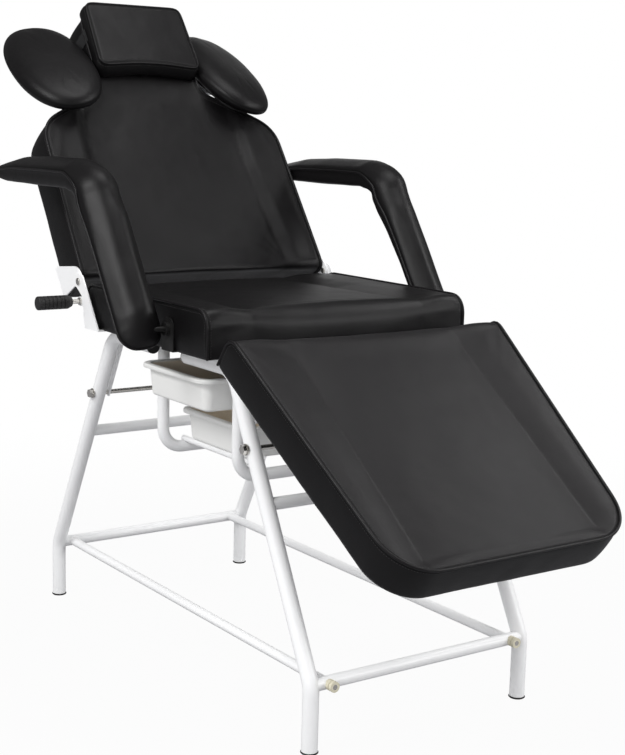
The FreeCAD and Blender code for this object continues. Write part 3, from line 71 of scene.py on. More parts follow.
# camera, floor and lights
camera = {
    "place": (2.5136, -1.6846, 1.1197), "azimuth": 54.95, "elevation": 9.99, "roll": 1.49, "lens": 70.2,
}
studio = {
    "floorSize": 30.0, "floorColour": (0.26, 0.26, 0.27, 1), "whiteNear": 0.96, "whiteFar": 1.0,
    "whiteFrom": 0.9, "whiteTo": 2.4, "worldStrength": 0.96, "reflectedShare": 0.14,
    "lamps": [
        # name, place, aimed at, size, watts
        ("overhead", (0.3, 0.0, 3.6), (0, 0, 0.6), (2.2, 1.8), 40),
        ("far", (0.75, 1.55, 1.95), (0.4, 0, 0.6), (1.0, 0.8), 11),
        ("side", (0.5, -3.2, 3.0), (0, 0, 0.8), (1.5, 1.1), 72),
        ("front", (3.4, 2.4, 1.7), (0.2, 0, 0.7), (1.3, 1.3), 40),
        ("rear", (-3.0, 1.8, 2.0), (0, 0, 0.8), (1.6, 1.4), 4),
        ("low", (2.0, -2.6, 0.85), (-0.1, 0, 0.45), (1.4, 0.7), 9),
    ],
}


def setCamera():
    data = bpy.data.cameras.new("camera")
    data.sensor_width = 36
    data.lens = camera["lens"]
    data.clip_start, data.clip_end = 0.05, 60
    azimuth, elevation, roll = (math.radians(camera[k]) for k in ("azimuth", "elevation", "roll"))
    right = Vector((math.cos(azimuth), math.sin(azimuth), 0))
    back = Vector((math.sin(azimuth) * math.cos(elevation), -math.cos(azimuth) * math.cos(elevation),
                   math.sin(elevation)))
    up = back.cross(right)
    turnedRight = right * math.cos(roll) + up * math.sin(roll)
    turnedUp = up * math.cos(roll) - right * math.sin(roll)
    obj = bpy.data.objects.new("camera", data)
    scene.collection.objects.link(obj)
    turn = Matrix((turnedRight, turnedUp, back)).transposed()
    obj.matrix_world = Matrix.Translation(camera["place"]) @ turn.to_4x4()
    scene.camera = obj


class Value:
    # a socket in a material, so that shader maths can be written as plain sums
    def __init__(self, finish, socket):
        self.finish = finish
        self.socket = socket

    def maths(self, operation, other, turned=False):
        pair = (other, self) if turned else (self, other)
        return self.finish.add("ShaderNodeMath", {"operation": operation}, dict(enumerate(pair)))

    def __add__(self, other):
        return self.maths("ADD", other)

    def __radd__(self, other):
        return self.maths("ADD", other)

    def __sub__(self, other):
        return self.maths("SUBTRACT", other)

    def __rsub__(self, other):
        return self.maths("SUBTRACT", other, True)

    def __mul__(self, other):
        return self.maths("MULTIPLY", other)

    def __rmul__(self, other):
        return self.maths("MULTIPLY", other)

    def __gt__(self, other):
        return self.maths("GREATER_THAN", other)


class Finish:
    # one material or world: add makes any node from its settings and the values or links of its sockets
    def __init__(self, name, kind=bpy.data.materials):
        self.material = kind.new(name)
        self.material.use_nodes = True
        self.tree = self.material.node_tree
        self.tree.nodes.clear()

    def add(self, kind, settings=None, inputs=None, output=0):
        node = self.tree.nodes.new(kind)
        for key, value in (settings or {}).items():
            if key == "stops":
                self.setStops(node.color_ramp, value)
            else:
                setattr(node, key, value)
        for key, value in (inputs or {}).items():
            if isinstance(value, Value):
                self.tree.links.new(value.socket, node.inputs[key])
            else:
                node.inputs[key].default_value = value
        return Value(self, node.outputs[output]) if node.outputs else node

    def setStops(self, ramp, stops):
        while len(ramp.elements) < len(stops):
            ramp.elements.new(0.5)
        for element, (place, grey) in zip(ramp.elements, stops):
            element.position = place
            element.color = (grey, grey, grey, 1)

    def place(self):
        return self.add("ShaderNodeTexCoord", output=3)

    def mark(self, name):
        return self.add("ShaderNodeAttribute", {"attribute_name": name}, output=2)

    def shownRay(self):
        # 1 for what the camera sees, straight or through something clear
        straight, clear = (self.add("ShaderNodeLightPath", output=f"Is {word} Ray")
                           for word in ("Camera", "Transmission"))
        return straight.maths("MAXIMUM", clear)

    def noise(self, place, scale, detail, roughness=0.5):
        return self.add("ShaderNodeTexNoise", None,
                        {"Vector": place, "Scale": scale, "Detail": detail, "Roughness": roughness})

    def mix(self, share, first, second):
        return self.add("ShaderNodeMix", {"data_type": "RGBA"}, {0: share, 6: first, 7: second}, 2)

    def wave(self, place, direction, scale, distortion):
        return self.add("ShaderNodeTexWave", {"wave_type": "BANDS", "bands_direction": direction},
                        {"Vector": place, "Scale": scale, "Distortion": distortion})

    def stretch(self, place, scale):
        return self.add("ShaderNodeMapping", None, {"Vector": place, "Scale": scale})

    def bump(self, height, strength, distance, normal=None):
        inputs = {"Height": height, "Strength": strength, "Distance": distance}
        if normal:
            inputs["Normal"] = normal
        return self.add("ShaderNodeBump", None, inputs)

    def surface(self, **sockets):
        named = {key.replace("_", " "): value for key, value in sockets.items()}
        shader = self.add("ShaderNodeBsdfPrincipled", None, named)
        self.add("ShaderNodeOutputMaterial", None, {"Surface": shader})
        return self.material


def setStage():
    # a grey floor that keeps the shadow and shows nearly white to the camera
    finish = Finish("studioFloor")
    distance = finish.add("ShaderNodeVectorMath", {"operation": "LENGTH"}, {0: finish.place()}, 1)
    share = finish.add("ShaderNodeMapRange", {"interpolation_type": "SMOOTHSTEP"},
                       {0: distance, 1: studio["whiteFrom"], 2: studio["whiteTo"], 3: studio["whiteNear"],
                        4: studio["whiteFar"]})
    lit = finish.add("ShaderNodeBsdfDiffuse", None, {"Color": studio["floorColour"]})
    white = finish.add("ShaderNodeEmission", None, {"Color": (1, 1, 1, 1), "Strength": 1.0})
    blend = finish.add("ShaderNodeMixShader", None, {0: finish.shownRay() * share, 1: lit, 2: white})
    finish.add("ShaderNodeOutputMaterial", None, {"Surface": blend})
    size = studio["floorSize"] / 2
    mesh = bpy.data.meshes.new("floor")
    mesh.from_pydata([(-size, -size, 0), (size, -size, 0), (size, size, 0), (-size, size, 0)], [],
                     [(0, 1, 2, 3)])
    mesh.materials.append(finish.material)
    floor = bpy.data.objects.new("floor", mesh)
    scene.collection.objects.link(floor)


def setWorld():
    # white to the camera, and dim in reflections so that the black covers stay dark
    finish = Finish("studio", bpy.data.worlds)
    white, fill, reflected = (finish.add("ShaderNodeBackground", None, {0: (1, 1, 1, 1), 1: strength})
                              for strength in (1.0, studio["worldStrength"], studio["reflectedShare"]))
    glossy = finish.add("ShaderNodeLightPath", output="Is Glossy Ray")
    light = finish.add("ShaderNodeMixShader", None, {0: glossy, 1: fill, 2: reflected})
    seen = finish.add("ShaderNodeMixShader", None, {0: finish.shownRay(), 1: light, 2: white})
    finish.add("ShaderNodeOutputWorld", None, {0: seen})
    scene.world = finish.material


def setLamps():
    for name, place, target, size, watts in studio["lamps"]:
        data = bpy.data.lights.new(name, "AREA")
        data.shape = "RECTANGLE"
        data.size, data.size_y = size
        data.energy = watts
        lamp = bpy.data.objects.new(name, data)
        scene.collection.objects.link(lamp)
        lamp.visible_camera = False
        lamp.location = place
        aim = Vector(target) - Vector(place)
        lamp.rotation_euler = aim.to_track_quat("-Z", "Y").to_euler()


setCamera()
setStage()
setWorld()
setLamps()
scene.view_settings.view_transform = "Standard"
print("studio set")


# materials
leatherette = {
    "colour": (0.0034, 0.0030, 0.0034, 1), "worn": (0.0072, 0.0066, 0.0072, 1),
    "dust": (0.014, 0.013, 0.0135, 1), "shade": (0.0008, 0.0007, 0.0008, 1),
    "roughness": 0.36, "specular": 0.24, "grainScale": 950.0, "grainDepth": 0.00016,
}


def makeLeatherette(name, rougher, tone):
    # pebbled synthetic leather, paler and smoother where it is stretched over a seam, with painted shade
    # near black in the crevice beside each piping
    look = Finish(name)
    roughness = leatherette["roughness"] + rougher
    place = look.place()
    rim = look.mark("nearSeam")
    wander = look.noise(place, 260.0, 2.0)
    swirl = look.add("ShaderNodeTexNoise", None, {"Vector": place, "Scale": 420.0, "Detail": 2.0}, 1)
    bent = look.add("ShaderNodeVectorMath", {"operation": "MULTIPLY_ADD"},
                    {0: swirl, 1: (0.0012, 0.0012, 0.0012), 2: place})
    cells = look.add("ShaderNodeTexVoronoi", {"feature": "DISTANCE_TO_EDGE"},
                     {"Vector": bent, "Scale": leatherette["grainScale"]})
    pebble = look.add("ShaderNodeValToRGB", {"stops": [(0.0, 0.0), (0.22, 1.0)]}, {"Fac": cells})
    pebbleHeight = look.add("ShaderNodeRGBToBW", None, {"Color": pebble})
    broad = look.noise(place, 5.5, 4.0)
    cloud = look.noise(place, 34.0, 3.0)
    # tone scales the colours: tones other than 1 give paler and darker copies of this leatherette that paint
    # light and shade
    base, worn = (tuple(c * tone for c in leatherette[key][:3]) + (1,) for key in ("colour", "worn"))
    colour = look.mix(broad * 0.55 + cloud * 0.2, base, worn)
    colour = look.mix(rim * 0.35, colour, worn)
    dust = look.noise(place, 1900.0, 1.0)
    colour = look.mix((dust > 0.70) * 0.18, colour, leatherette["dust"])
    # painted shade: the colour goes to near black along the crevice beside each piping
    crevice = look.mark("crevice")
    colour = look.mix(crevice * 0.92, colour, leatherette["shade"])
    gloss = roughness + 0.10 * (broad - 0.5) + 0.06 * (cloud - 0.5) - 0.05 * rim + (1 - pebbleHeight) * 0.08
    gloss = gloss + crevice * 0.4
    height = pebbleHeight * 0.7 + wander * 0.5
    normal = look.bump(height, 0.34, leatherette["grainDepth"])
    slow = look.bump(look.noise(place, 42.0, 3.0), 0.30, 0.0011, normal)
    return look.surface(Base_Color=colour, Roughness=gloss, Normal=slow,
                        Specular_IOR_Level=leatherette["specular"])


tones = {  # darker tone, paler tone and lowest roughness of each finish
    "paint": ((0.86, 0.865, 0.87, 1), (0.90, 0.90, 0.905, 1), 0.26),
    "tray": ((0.82, 0.82, 0.80, 1), (0.87, 0.87, 0.855, 1), 0.34),
    "nickel": ((0.70, 0.68, 0.64, 1), (0.80, 0.78, 0.74, 1), 0.16),
    "zinc": ((0.50, 0.51, 0.52, 1), (0.68, 0.69, 0.70, 1), 0.28),
    "blackSteel": ((0.012, 0.012, 0.013, 1), (0.030, 0.029, 0.028, 1), 0.36),
    "rubber": ((0.010, 0.010, 0.010, 1), (0.022, 0.021, 0.021, 1), 0.46),
    "plastic": ((0.014, 0.014, 0.015, 1), (0.026, 0.026, 0.027, 1), 0.34),
    "cream": ((0.62, 0.58, 0.44, 1), (0.72, 0.68, 0.54, 1), 0.42),
    "backing": ((0.0065, 0.0062, 0.0065, 1), (0.026, 0.025, 0.026, 1), 0.86),
    "thread": ((0.024, 0.023, 0.025, 1), (0.070, 0.067, 0.070, 1), 0.42),
    "webbing": ((0.010, 0.010, 0.011, 1), (0.035, 0.034, 0.035, 1), 0.72),
}


def startFinish(name, tone):
    look = Finish(name)
    return look, look.place(), *tones[tone]


def makePowderCoat():
    look, place, dark, pale, rough = startFinish("whitePowderCoat", "paint")
    haze = look.noise(place, 9.0, 4.0)
    specks = look.noise(place, 1300.0, 1.0)
    colour = look.mix((specks > 0.74) * 0.25, look.mix(haze, dark, pale), (0.66, 0.66, 0.65, 1))
    peel = look.noise(place, 420.0, 2.0)
    return look.surface(Base_Color=colour, Roughness=rough + haze * 0.12,
                        Normal=look.bump(peel, 0.10, 0.0002))


def makeTrayPlastic():
    look, place, dark, pale, rough = startFinish("whiteTrayPlastic", "tray")
    haze = look.noise(place, 14.0, 3.0)
    flow = look.noise(look.stretch(place, (6, 40, 160)), 5.0, 3.0)
    # painted bounce light: the inside of the tray is tinted warm beige, for light bounced off the board
    # above
    colour = look.mix(look.mark("inside") * 0.9, look.mix(haze, dark, pale), (0.93, 0.82, 0.66, 1))
    height = look.noise(place, 900.0, 2.0) * 0.6 + flow * 0.4
    return look.surface(Base_Color=colour, Roughness=rough + haze * 0.12,
                        Normal=look.bump(height, 0.12, 0.0004))


def makeNickel():
    look, place, dark, pale, rough = startFinish("brightNickel", "nickel")
    rub = look.noise(look.stretch(place, (1, 1, 14)), 500.0, 3.0)
    colour = look.mix(look.noise(place, 120.0, 3.0), dark, pale)
    return look.surface(Base_Color=colour, Metallic=1.0, Roughness=rough + rub * 0.16,
                        Normal=look.bump(rub, 0.10, 0.0002))


def makeZinc():
    look, place, dark, pale, rough = startFinish("zincSteel", "zinc")
    spangle = look.add("ShaderNodeTexVoronoi", None, {"Vector": place, "Scale": 240.0}, 1)
    tone = look.add("ShaderNodeRGBToBW", None, {"Color": spangle})
    haze = look.noise(place, 60.0, 3.0)
    colour = look.mix(tone * 0.5 + haze * 0.4, dark, pale)
    return look.surface(Base_Color=colour, Metallic=1.0, Roughness=rough + tone * 0.14 + haze * 0.08,
                        Normal=look.bump(haze, 0.12, 0.0003))


def makeBlackSteel():
    look, place, dark, pale, rough = startFinish("blackOxideSteel", "blackSteel")
    scuff = look.noise(look.stretch(place, (1, 8, 1)), 380.0, 3.0)
    colour = look.mix(look.noise(place, 70.0, 4.0), dark, pale)
    return look.surface(Base_Color=colour, Metallic=0.55, Roughness=rough + scuff * 0.2,
                        Normal=look.bump(scuff, 0.10, 0.0003))


def makeRubber(name, tone, grain):
    look, place, dark, pale, rough = startFinish(name, tone)
    fine = look.noise(place, grain, 2.0)
    colour = look.mix(look.noise(place, 90.0, 4.0), dark, pale)
    return look.surface(Base_Color=colour, Roughness=rough + fine * 0.16,
                        Normal=look.bump(fine, 0.25, 0.0004))


def makeBackingCloth():
    # thin black non-woven cloth stapled over the underside of each board
    look, place, dark, pale, rough = startFinish("blackBackingCloth", "backing")
    fibres = look.noise(look.stretch(place, (1, 2.2, 1)), 620.0, 5.0, 0.7)
    dimples = look.add("ShaderNodeTexVoronoi", None, {"Vector": place, "Scale": 520.0, "Randomness": 0.3})
    colour = look.mix(fibres * 0.8 + dimples * 0.3, dark, pale)
    weave = look.bump(fibres * 0.5 + dimples * 0.5, 0.45, 0.0004)
    slack = look.bump(look.noise(place, 7.0, 3.0), 0.35, 0.004, weave)
    return look.surface(Base_Color=colour, Roughness=rough + fibres * 0.1, Normal=slack)


def makeThread():
    look, place, dark, pale, rough = startFinish("blackThread", "thread")
    twist = look.wave(place, "DIAGONAL", 900.0, 0.6)
    return look.surface(Base_Color=look.mix(twist, dark, pale), Roughness=rough + twist * 0.12,
                        Normal=look.bump(twist, 0.4, 0.0002))


def makeWebbing():
    look, place, dark, pale, rough = startFinish("elasticWebbing", "webbing")
    ribs, weave = look.wave(place, "X", 420.0, 0.4), look.wave(place, "Y", 300.0, 0.4)
    return look.surface(Base_Color=look.mix(ribs * weave, dark, pale), Roughness=rough + ribs * 0.1,
                        Normal=look.bump(ribs * 0.6 + weave * 0.4, 0.5, 0.0005))


finishes = {
    "cover": makeLeatherette("blackLeatherette", 0.0, 1.0),
    # painted light: the leg rest's cover is the same leatherette 1.7 times paler, for the brighter light on
    # its tilted top
    "footCover": makeLeatherette("blackLeatheretteFoot", 0.07, 1.7),
    # painted shade: the side bands are the same leatherette at 0.7 of its tone, darker as upright faces
    # catch less light
    "side": makeLeatherette("blackLeatheretteBand", 0.04, 0.7),
    # painted highlight: the piping is the same leatherette 1.5 times paler, for the light caught along its
    # round ridge
    "piping": makeLeatherette("blackLeatherettePiping", -0.06, 1.5),
    "thread": makeThread(),
    "paint": makePowderCoat(),
    "tray": makeTrayPlastic(),
    "nickel": makeNickel(),
    "zinc": makeZinc(),
    "blackSteel": makeBlackSteel(),
    "rubber": makeRubber("blackRubber", "rubber", 1500.0),
    "plastic": makeRubber("blackPlastic", "plastic", 700.0),
    "cream": makeRubber("creamRubber", "cream", 900.0),
    "backing": makeBackingCloth(),
    "webbing": makeWebbing(),
}
slotFinish = {
    "painted_frame": "paint", "nickel_fasteners": "nickel", "black_steel": "blackSteel",
    "zinc_steel": "zinc", "black_upholstery": "cover", "strap_webbing": "webbing",
    "plywood": "backing", "white_tray_plastic": "tray", "black_rubber": "rubber",
    "black_plastic": "plastic", "cream_rubber": "cream",
}
ownFinish = {"armrest_bolts": "blackSteel", "tie_rods": "nickel"}  # nodes that differ from their slot
for part in frame["record"]["subparts"]:
    node = frame["nodes"][part["node"]]
    for materialSlot in node.material_slots:
        wanted = slotFinish[part["material_slot"]]
        materialSlot.material = finishes[ownFinish.get(part["node"], wanted)]
print("materials made:", len(finishes))


# making meshes
def bodyOf(node):
    return frame["nodes"][node]["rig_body"]


def addPiece(name, points, faces, finish, body, put=Matrix.Identity(4)):
    # points are in millimetres in their own flat place; put is the matrix that sets them
    mesh = bpy.data.meshes.new(name)
    mesh.from_pydata([(put @ Vector(p)) * millimetre for p in points], [], faces)
    mesh.materials.append(finishes[finish])
    mesh.validate()
    mesh.update()
    mesh.polygons.foreach_set("use_smooth", [True] * len(mesh.polygons))
    obj = bpy.data.objects.new(name, mesh)
    scene.collection.objects.link(obj)
    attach(obj, body)
    return obj


class Draft:
    # points and faces of one piece, with points that coincide shared
    def __init__(self):
        self.points = []
        self.faces = []
        self.marks = []
        self.seen = {}

    def point(self, place, mark):
        key = tuple(round(v * 20) for v in place)
        if key in self.seen:
            return self.seen[key]
        self.seen[key] = len(self.points)
        self.points.append(Vector(place))
        self.marks.append(mark)
        return self.seen[key]

    def face(self, *corners):
        unique = [c for i, c in enumerate(corners) if c != corners[i - 1]]
        if len(unique) > 2:
            self.faces.append(tuple(unique))

    def fill(self, loop, inner, lines, lift, mark, flip=False):
        # triangles inside a closed loop of flat points; lift turns each into a place in space
        flat = [Vector(p) for p in loop]
        edges = [(i, (i + 1) % len(loop)) for i in range(len(loop))]
        for line in lines:
            first = len(flat)
            flat += [Vector(p) for p in line]
            edges += [(first + i, first + i + 1) for i in range(len(line) - 1)]
        flat += [Vector(p) for p in inner]
        made = delaunay_2d_cdt(flat, edges, [], 1, 0.001)
        index = [self.point(lift(p.x, p.y), mark) for p in made[0]]
        for corners in made[2]:
            ring = [index[c] for c in corners]
            self.face(*(ring[::-1] if flip else ring))


def roundedLine(corners, radii, step):
    # a run of straight lines with round corners, as points about one step apart
    legs = []
    last = Vector(corners[0])
    for i in range(1, len(corners) - 1):
        here = Vector(corners[i])
        before = (here - Vector(corners[i - 1])).normalized()
        after = (Vector(corners[i + 1]) - here).normalized()
        turn = before.angle(after)
        reach = radii[i] * math.tan(turn / 2)
        start, end = here - before * reach, here + after * reach
        legs.append(("line", last, start))
        if reach > 0.01:
            middle = here + (after - before).normalized() * radii[i] / math.cos(turn / 2)
            legs.append(("arc", start, end, middle, radii[i], turn))
        last = end
    legs.append(("line", last, Vector(corners[-1])))
    points = [Vector(corners[0])]
    for leg in legs:
        start, end = leg[1], leg[2]
        if leg[0] == "line":
            count = max(1, round((end - start).length / step))
            if (end - start).length > 0.01:
                points += [start.lerp(end, i / count) for i in range(1, count + 1)]
        else:
            middle, radius, turn = leg[3:]
            count = max(2, math.ceil(radius * turn / step))
            a = start - middle
            b = end - middle
            for i in range(1, count + 1):
                t = i / count
                share = (a * math.sin((1 - t) * turn) + b * math.sin(t * turn)) / math.sin(turn)
                points.append(middle + share)
    return points


def smoothStep(low, high, value):
    t = min(1.0, max(0.0, (value - low) / (high - low)))
    return t * t * (3 - 2 * t)


def lineValue(pairs, x):
    # a value read from pairs of place and value, straight between them
    for (x0, v0), (x1, v1) in zip(pairs, pairs[1:]):
        if x <= x1:
            return v0 + (v1 - v0) * min(1.0, max(0.0, (x - x0) / (x1 - x0)))
    return pairs[-1][1]


def travelledAlong(points, unit=millimetre):
    # how far along a row of points each one stands
    lengths = [0.0]
    for p, q in zip(points, points[1:]):
        lengths.append(lengths[-1] + (q - p).length / unit)
    return lengths


def tubeAlong(points, radius, sides, closed=False):
    # a round bar that follows points, with its ends closed
    count = len(points)
    vertices, faces = [], []
    normal = None
    for i, here in enumerate(points):
        before = points[i - 1] if i or closed else here
        after = points[(i + 1) % count] if i < count - 1 or closed else here
        along = (after - before).normalized()
        if normal is None:
            normal = along.orthogonal().normalized()
        normal = (normal - along * normal.dot(along)).normalized()
        side = along.cross(normal)
        for k in range(sides):
            turn = 2 * math.pi * k / sides
            vertices.append(here + (normal * math.cos(turn) + side * math.sin(turn)) * radius)
    rings = count if closed else count - 1
    for i in range(rings):
        for k in range(sides):
            a, b = i * sides + k, i * sides + (k + 1) % sides
            c, d = ((i + 1) % count) * sides + (k + 1) % sides, ((i + 1) % count) * sides + k
            faces.append((a, b, c, d))
    if not closed:
        faces.append(tuple(range(sides))[::-1])
        faces.append(tuple(range((count - 1) * sides, count * sides)))
    return vertices, faces


def smoothed(points, rounds, closed=False):
    # each point moved a quarter of the way to each of its neighbours, some rounds over
    for _ in range(rounds):
        moved = list(points)
        for i in range(len(points)):
            if closed or 0 < i < len(points) - 1:
                moved[i] = (points[i - 1] + points[i] * 2 + points[(i + 1) % len(points)]) / 4
        points = moved
    return points


stitching = {"pitch": 5.2, "length": 3.6, "thickness": 0.7, "fromPiping": 7.6}


def stitchRow(path, surface, vertices, faces):
    # short raised stitches along a row of points lying on a surface
    travelled = 0.0
    for start, end in zip(path, path[1:]):
        run = end - start
        length = run.length
        if length < 1e-6:
            continue
        while travelled < length:
            middle = start + run * (travelled / length)
            spot, normal, _, _ = surface.find_nearest(middle)
            travelled += stitching["pitch"] * millimetre
            if spot is None:
                continue
            along = run.normalized()
            across = normal.cross(along).normalized()
            half = stitching["length"] / 2 * millimetre
            thick = stitching["thickness"] * millimetre
            base = len(vertices)
            low, mid = normal * thick * 0.4, normal * thick * 0.3
            vertices += [spot - along * half - low, spot + across * thick + mid, spot + normal * thick * 1.3,
                         spot - across * thick + mid, spot + along * half - low]
            faces += [(base, base + 2, base + 1), (base, base + 3, base + 2), (base + 4, base + 1, base + 2),
                      (base + 4, base + 2, base + 3), (base, base + 1, base + 4, base + 3)]
        travelled -= length


# cushions
backPivot = Vector((-300.0, 0, 768.0))
backAngle = 55.7
legPivot = Vector((217.0, 0, 653.7))
legAngle = 35.9


def turnedAt(pivot, angle):
    turn = Matrix.Rotation(math.radians(angle), 4, "Y")
    return Matrix.Translation(pivot) @ turn @ Matrix.Translation(-pivot)


plainCushion = {  # what a cushion has where its own dictionary says nothing
    "startWrap": 0.0, "endWrap": 0.0, "channel": None, "channelFrom": -2000.0, "flank": None, "drop": 0.0,
    "crest": 0.0, "roll": 0.0, "keptRound": 0.0, "sewn": 0.0, "flare": (0, 0), "sunk": 0.0,
    "cap": 5.0, "pipeShare": 1, "puckered": 1, "finish": "cover", "place": Matrix.Identity(4),
}
seat = {
    "node": "seat_cushion", "start": -280.0, "end": 211.0, "startWrap": 22.0, "endWrap": 33.0,
    "corners": [(-280.0, 307.0), (211.0, 307.0)], "radii": [0, 0],
    "top": 766.0, "boardTop": 688.0, "base": 676.0,
    "channel": [(-280.0, 172.0), (-35.0, 190.0), (211.0, 205.0)], "flank": [(-280.0, 44.0), (211.0, 66.0)],
    "drop": 8.5, "crest": 4.0, "crown": 3.5, "keptRound": 0.25, "sewn": 1.2,
    # the roll along the front and the fold behind it: height, then how far from the front and how wide
    "roll": 4.5, "rollAt": (16, 15), "rollFold": 2.2, "foldAt": (44, 4.5), "pipeShare": 0.82,
}
back = {
    "node": "back_cushion", "start": -308.0, "end": -992.0, "startWrap": 18.0,
    "corners": [(-308.0, 309.0), (-689.0, 303.0), (-787.0, 130.0), (-992.0, 130.0), (-992.0, 0.0)],
    "radii": [0, 75.0, 45.0, 28.0, 0],
    "top": 775.3, "boardTop": 694.3, "base": 682.3,
    "channel": [(-800.0, 188.0), (-721.0, 188.0), (-590.0, 187.0), (-442.0, 199.0), (-308.0, 212.0)],
    "channelFrom": -770.0, "flank": [(-800.0, 24.0), (-721.0, 30.0), (-308.0, 48.0)],
    "drop": 9.5, "crest": 4.5, "crown": 3.0, "keptRound": 0.3, "sewn": 1.5,
    "sunk": 4.5, "sunkFrom": (752, 792), "place": turnedAt(backPivot, backAngle),  # lower under the pillow
}
legRest = {
    "node": "leg_cushion", "start": 238.4, "end": 801.4, "startWrap": 22.0,
    "corners": [(238.4, 314.0), (801.4, 266.0), (801.4, 0.0)], "radii": [0, 92.0, 0],
    "top": 766.0, "boardTop": 705.0, "base": 695.0,
    "channel": [(238.4, 195.0), (801.4, 200.0)], "flank": [(238.4, 66.0), (801.4, 48.0)],
    # the leg rest takes the paler copy of the leatherette, painted light
    "drop": 10.5, "crest": 3.5, "crown": 3.0, "keptRound": 0.1, "sewn": 1.6, "finish": "footCover",
    "place": turnedAt(legPivot, legAngle),
}
pillow = {
    "node": "headrest_pillow", "start": -820.0, "end": -1006.0,
    "corners": [(-843.0, 0.0), (-842.0, 40.0), (-833.0, 130.0), (-1004.0, 124.0), (-1004.0, 0.0)],
    "radii": [0, 400.0, 13.0, 14.0, 0], "top": 803.0, "boardTop": 771.5, "base": 771.5,
    "crown": 7.0, "crownReach": 132.0, "flare": (3.0, 11.0), "pipeShare": 0.6, "puckered": 1.6,
    "place": turnedAt(backPivot, backAngle),
}
sewing = {
    "step": 9.0, "levels": 8, "hemWidth": 22.0, "hemThickness": 1.0, "hemClear": 1.8, "skin": 1.4,
    "bulge": 3.0,
    "crevice": (3.4, 1.3), "seamRow": (7.6, 0.5),  # distance from the piping and depth of each row
    "creviceWidth": 1.7, "rise": 11, "wingRise": 25, "channelHalf": 3.5, "openEnd": 34,
    "pipingRadius": 2.8, "pucker": 0.6, "puckerLength": 15.0, "puckerReach": 9, "seamReach": 7,
    "frames": 20, "pressure": 4.0,
}
heldShare = {"top": 0.0, "band": 0.25, "row": 0.9, "rim": 1.0, "channel": 0.93, "base": 1.0}
creases = {"rim": 0.85, "base": 0.9, "channel": 0.25}


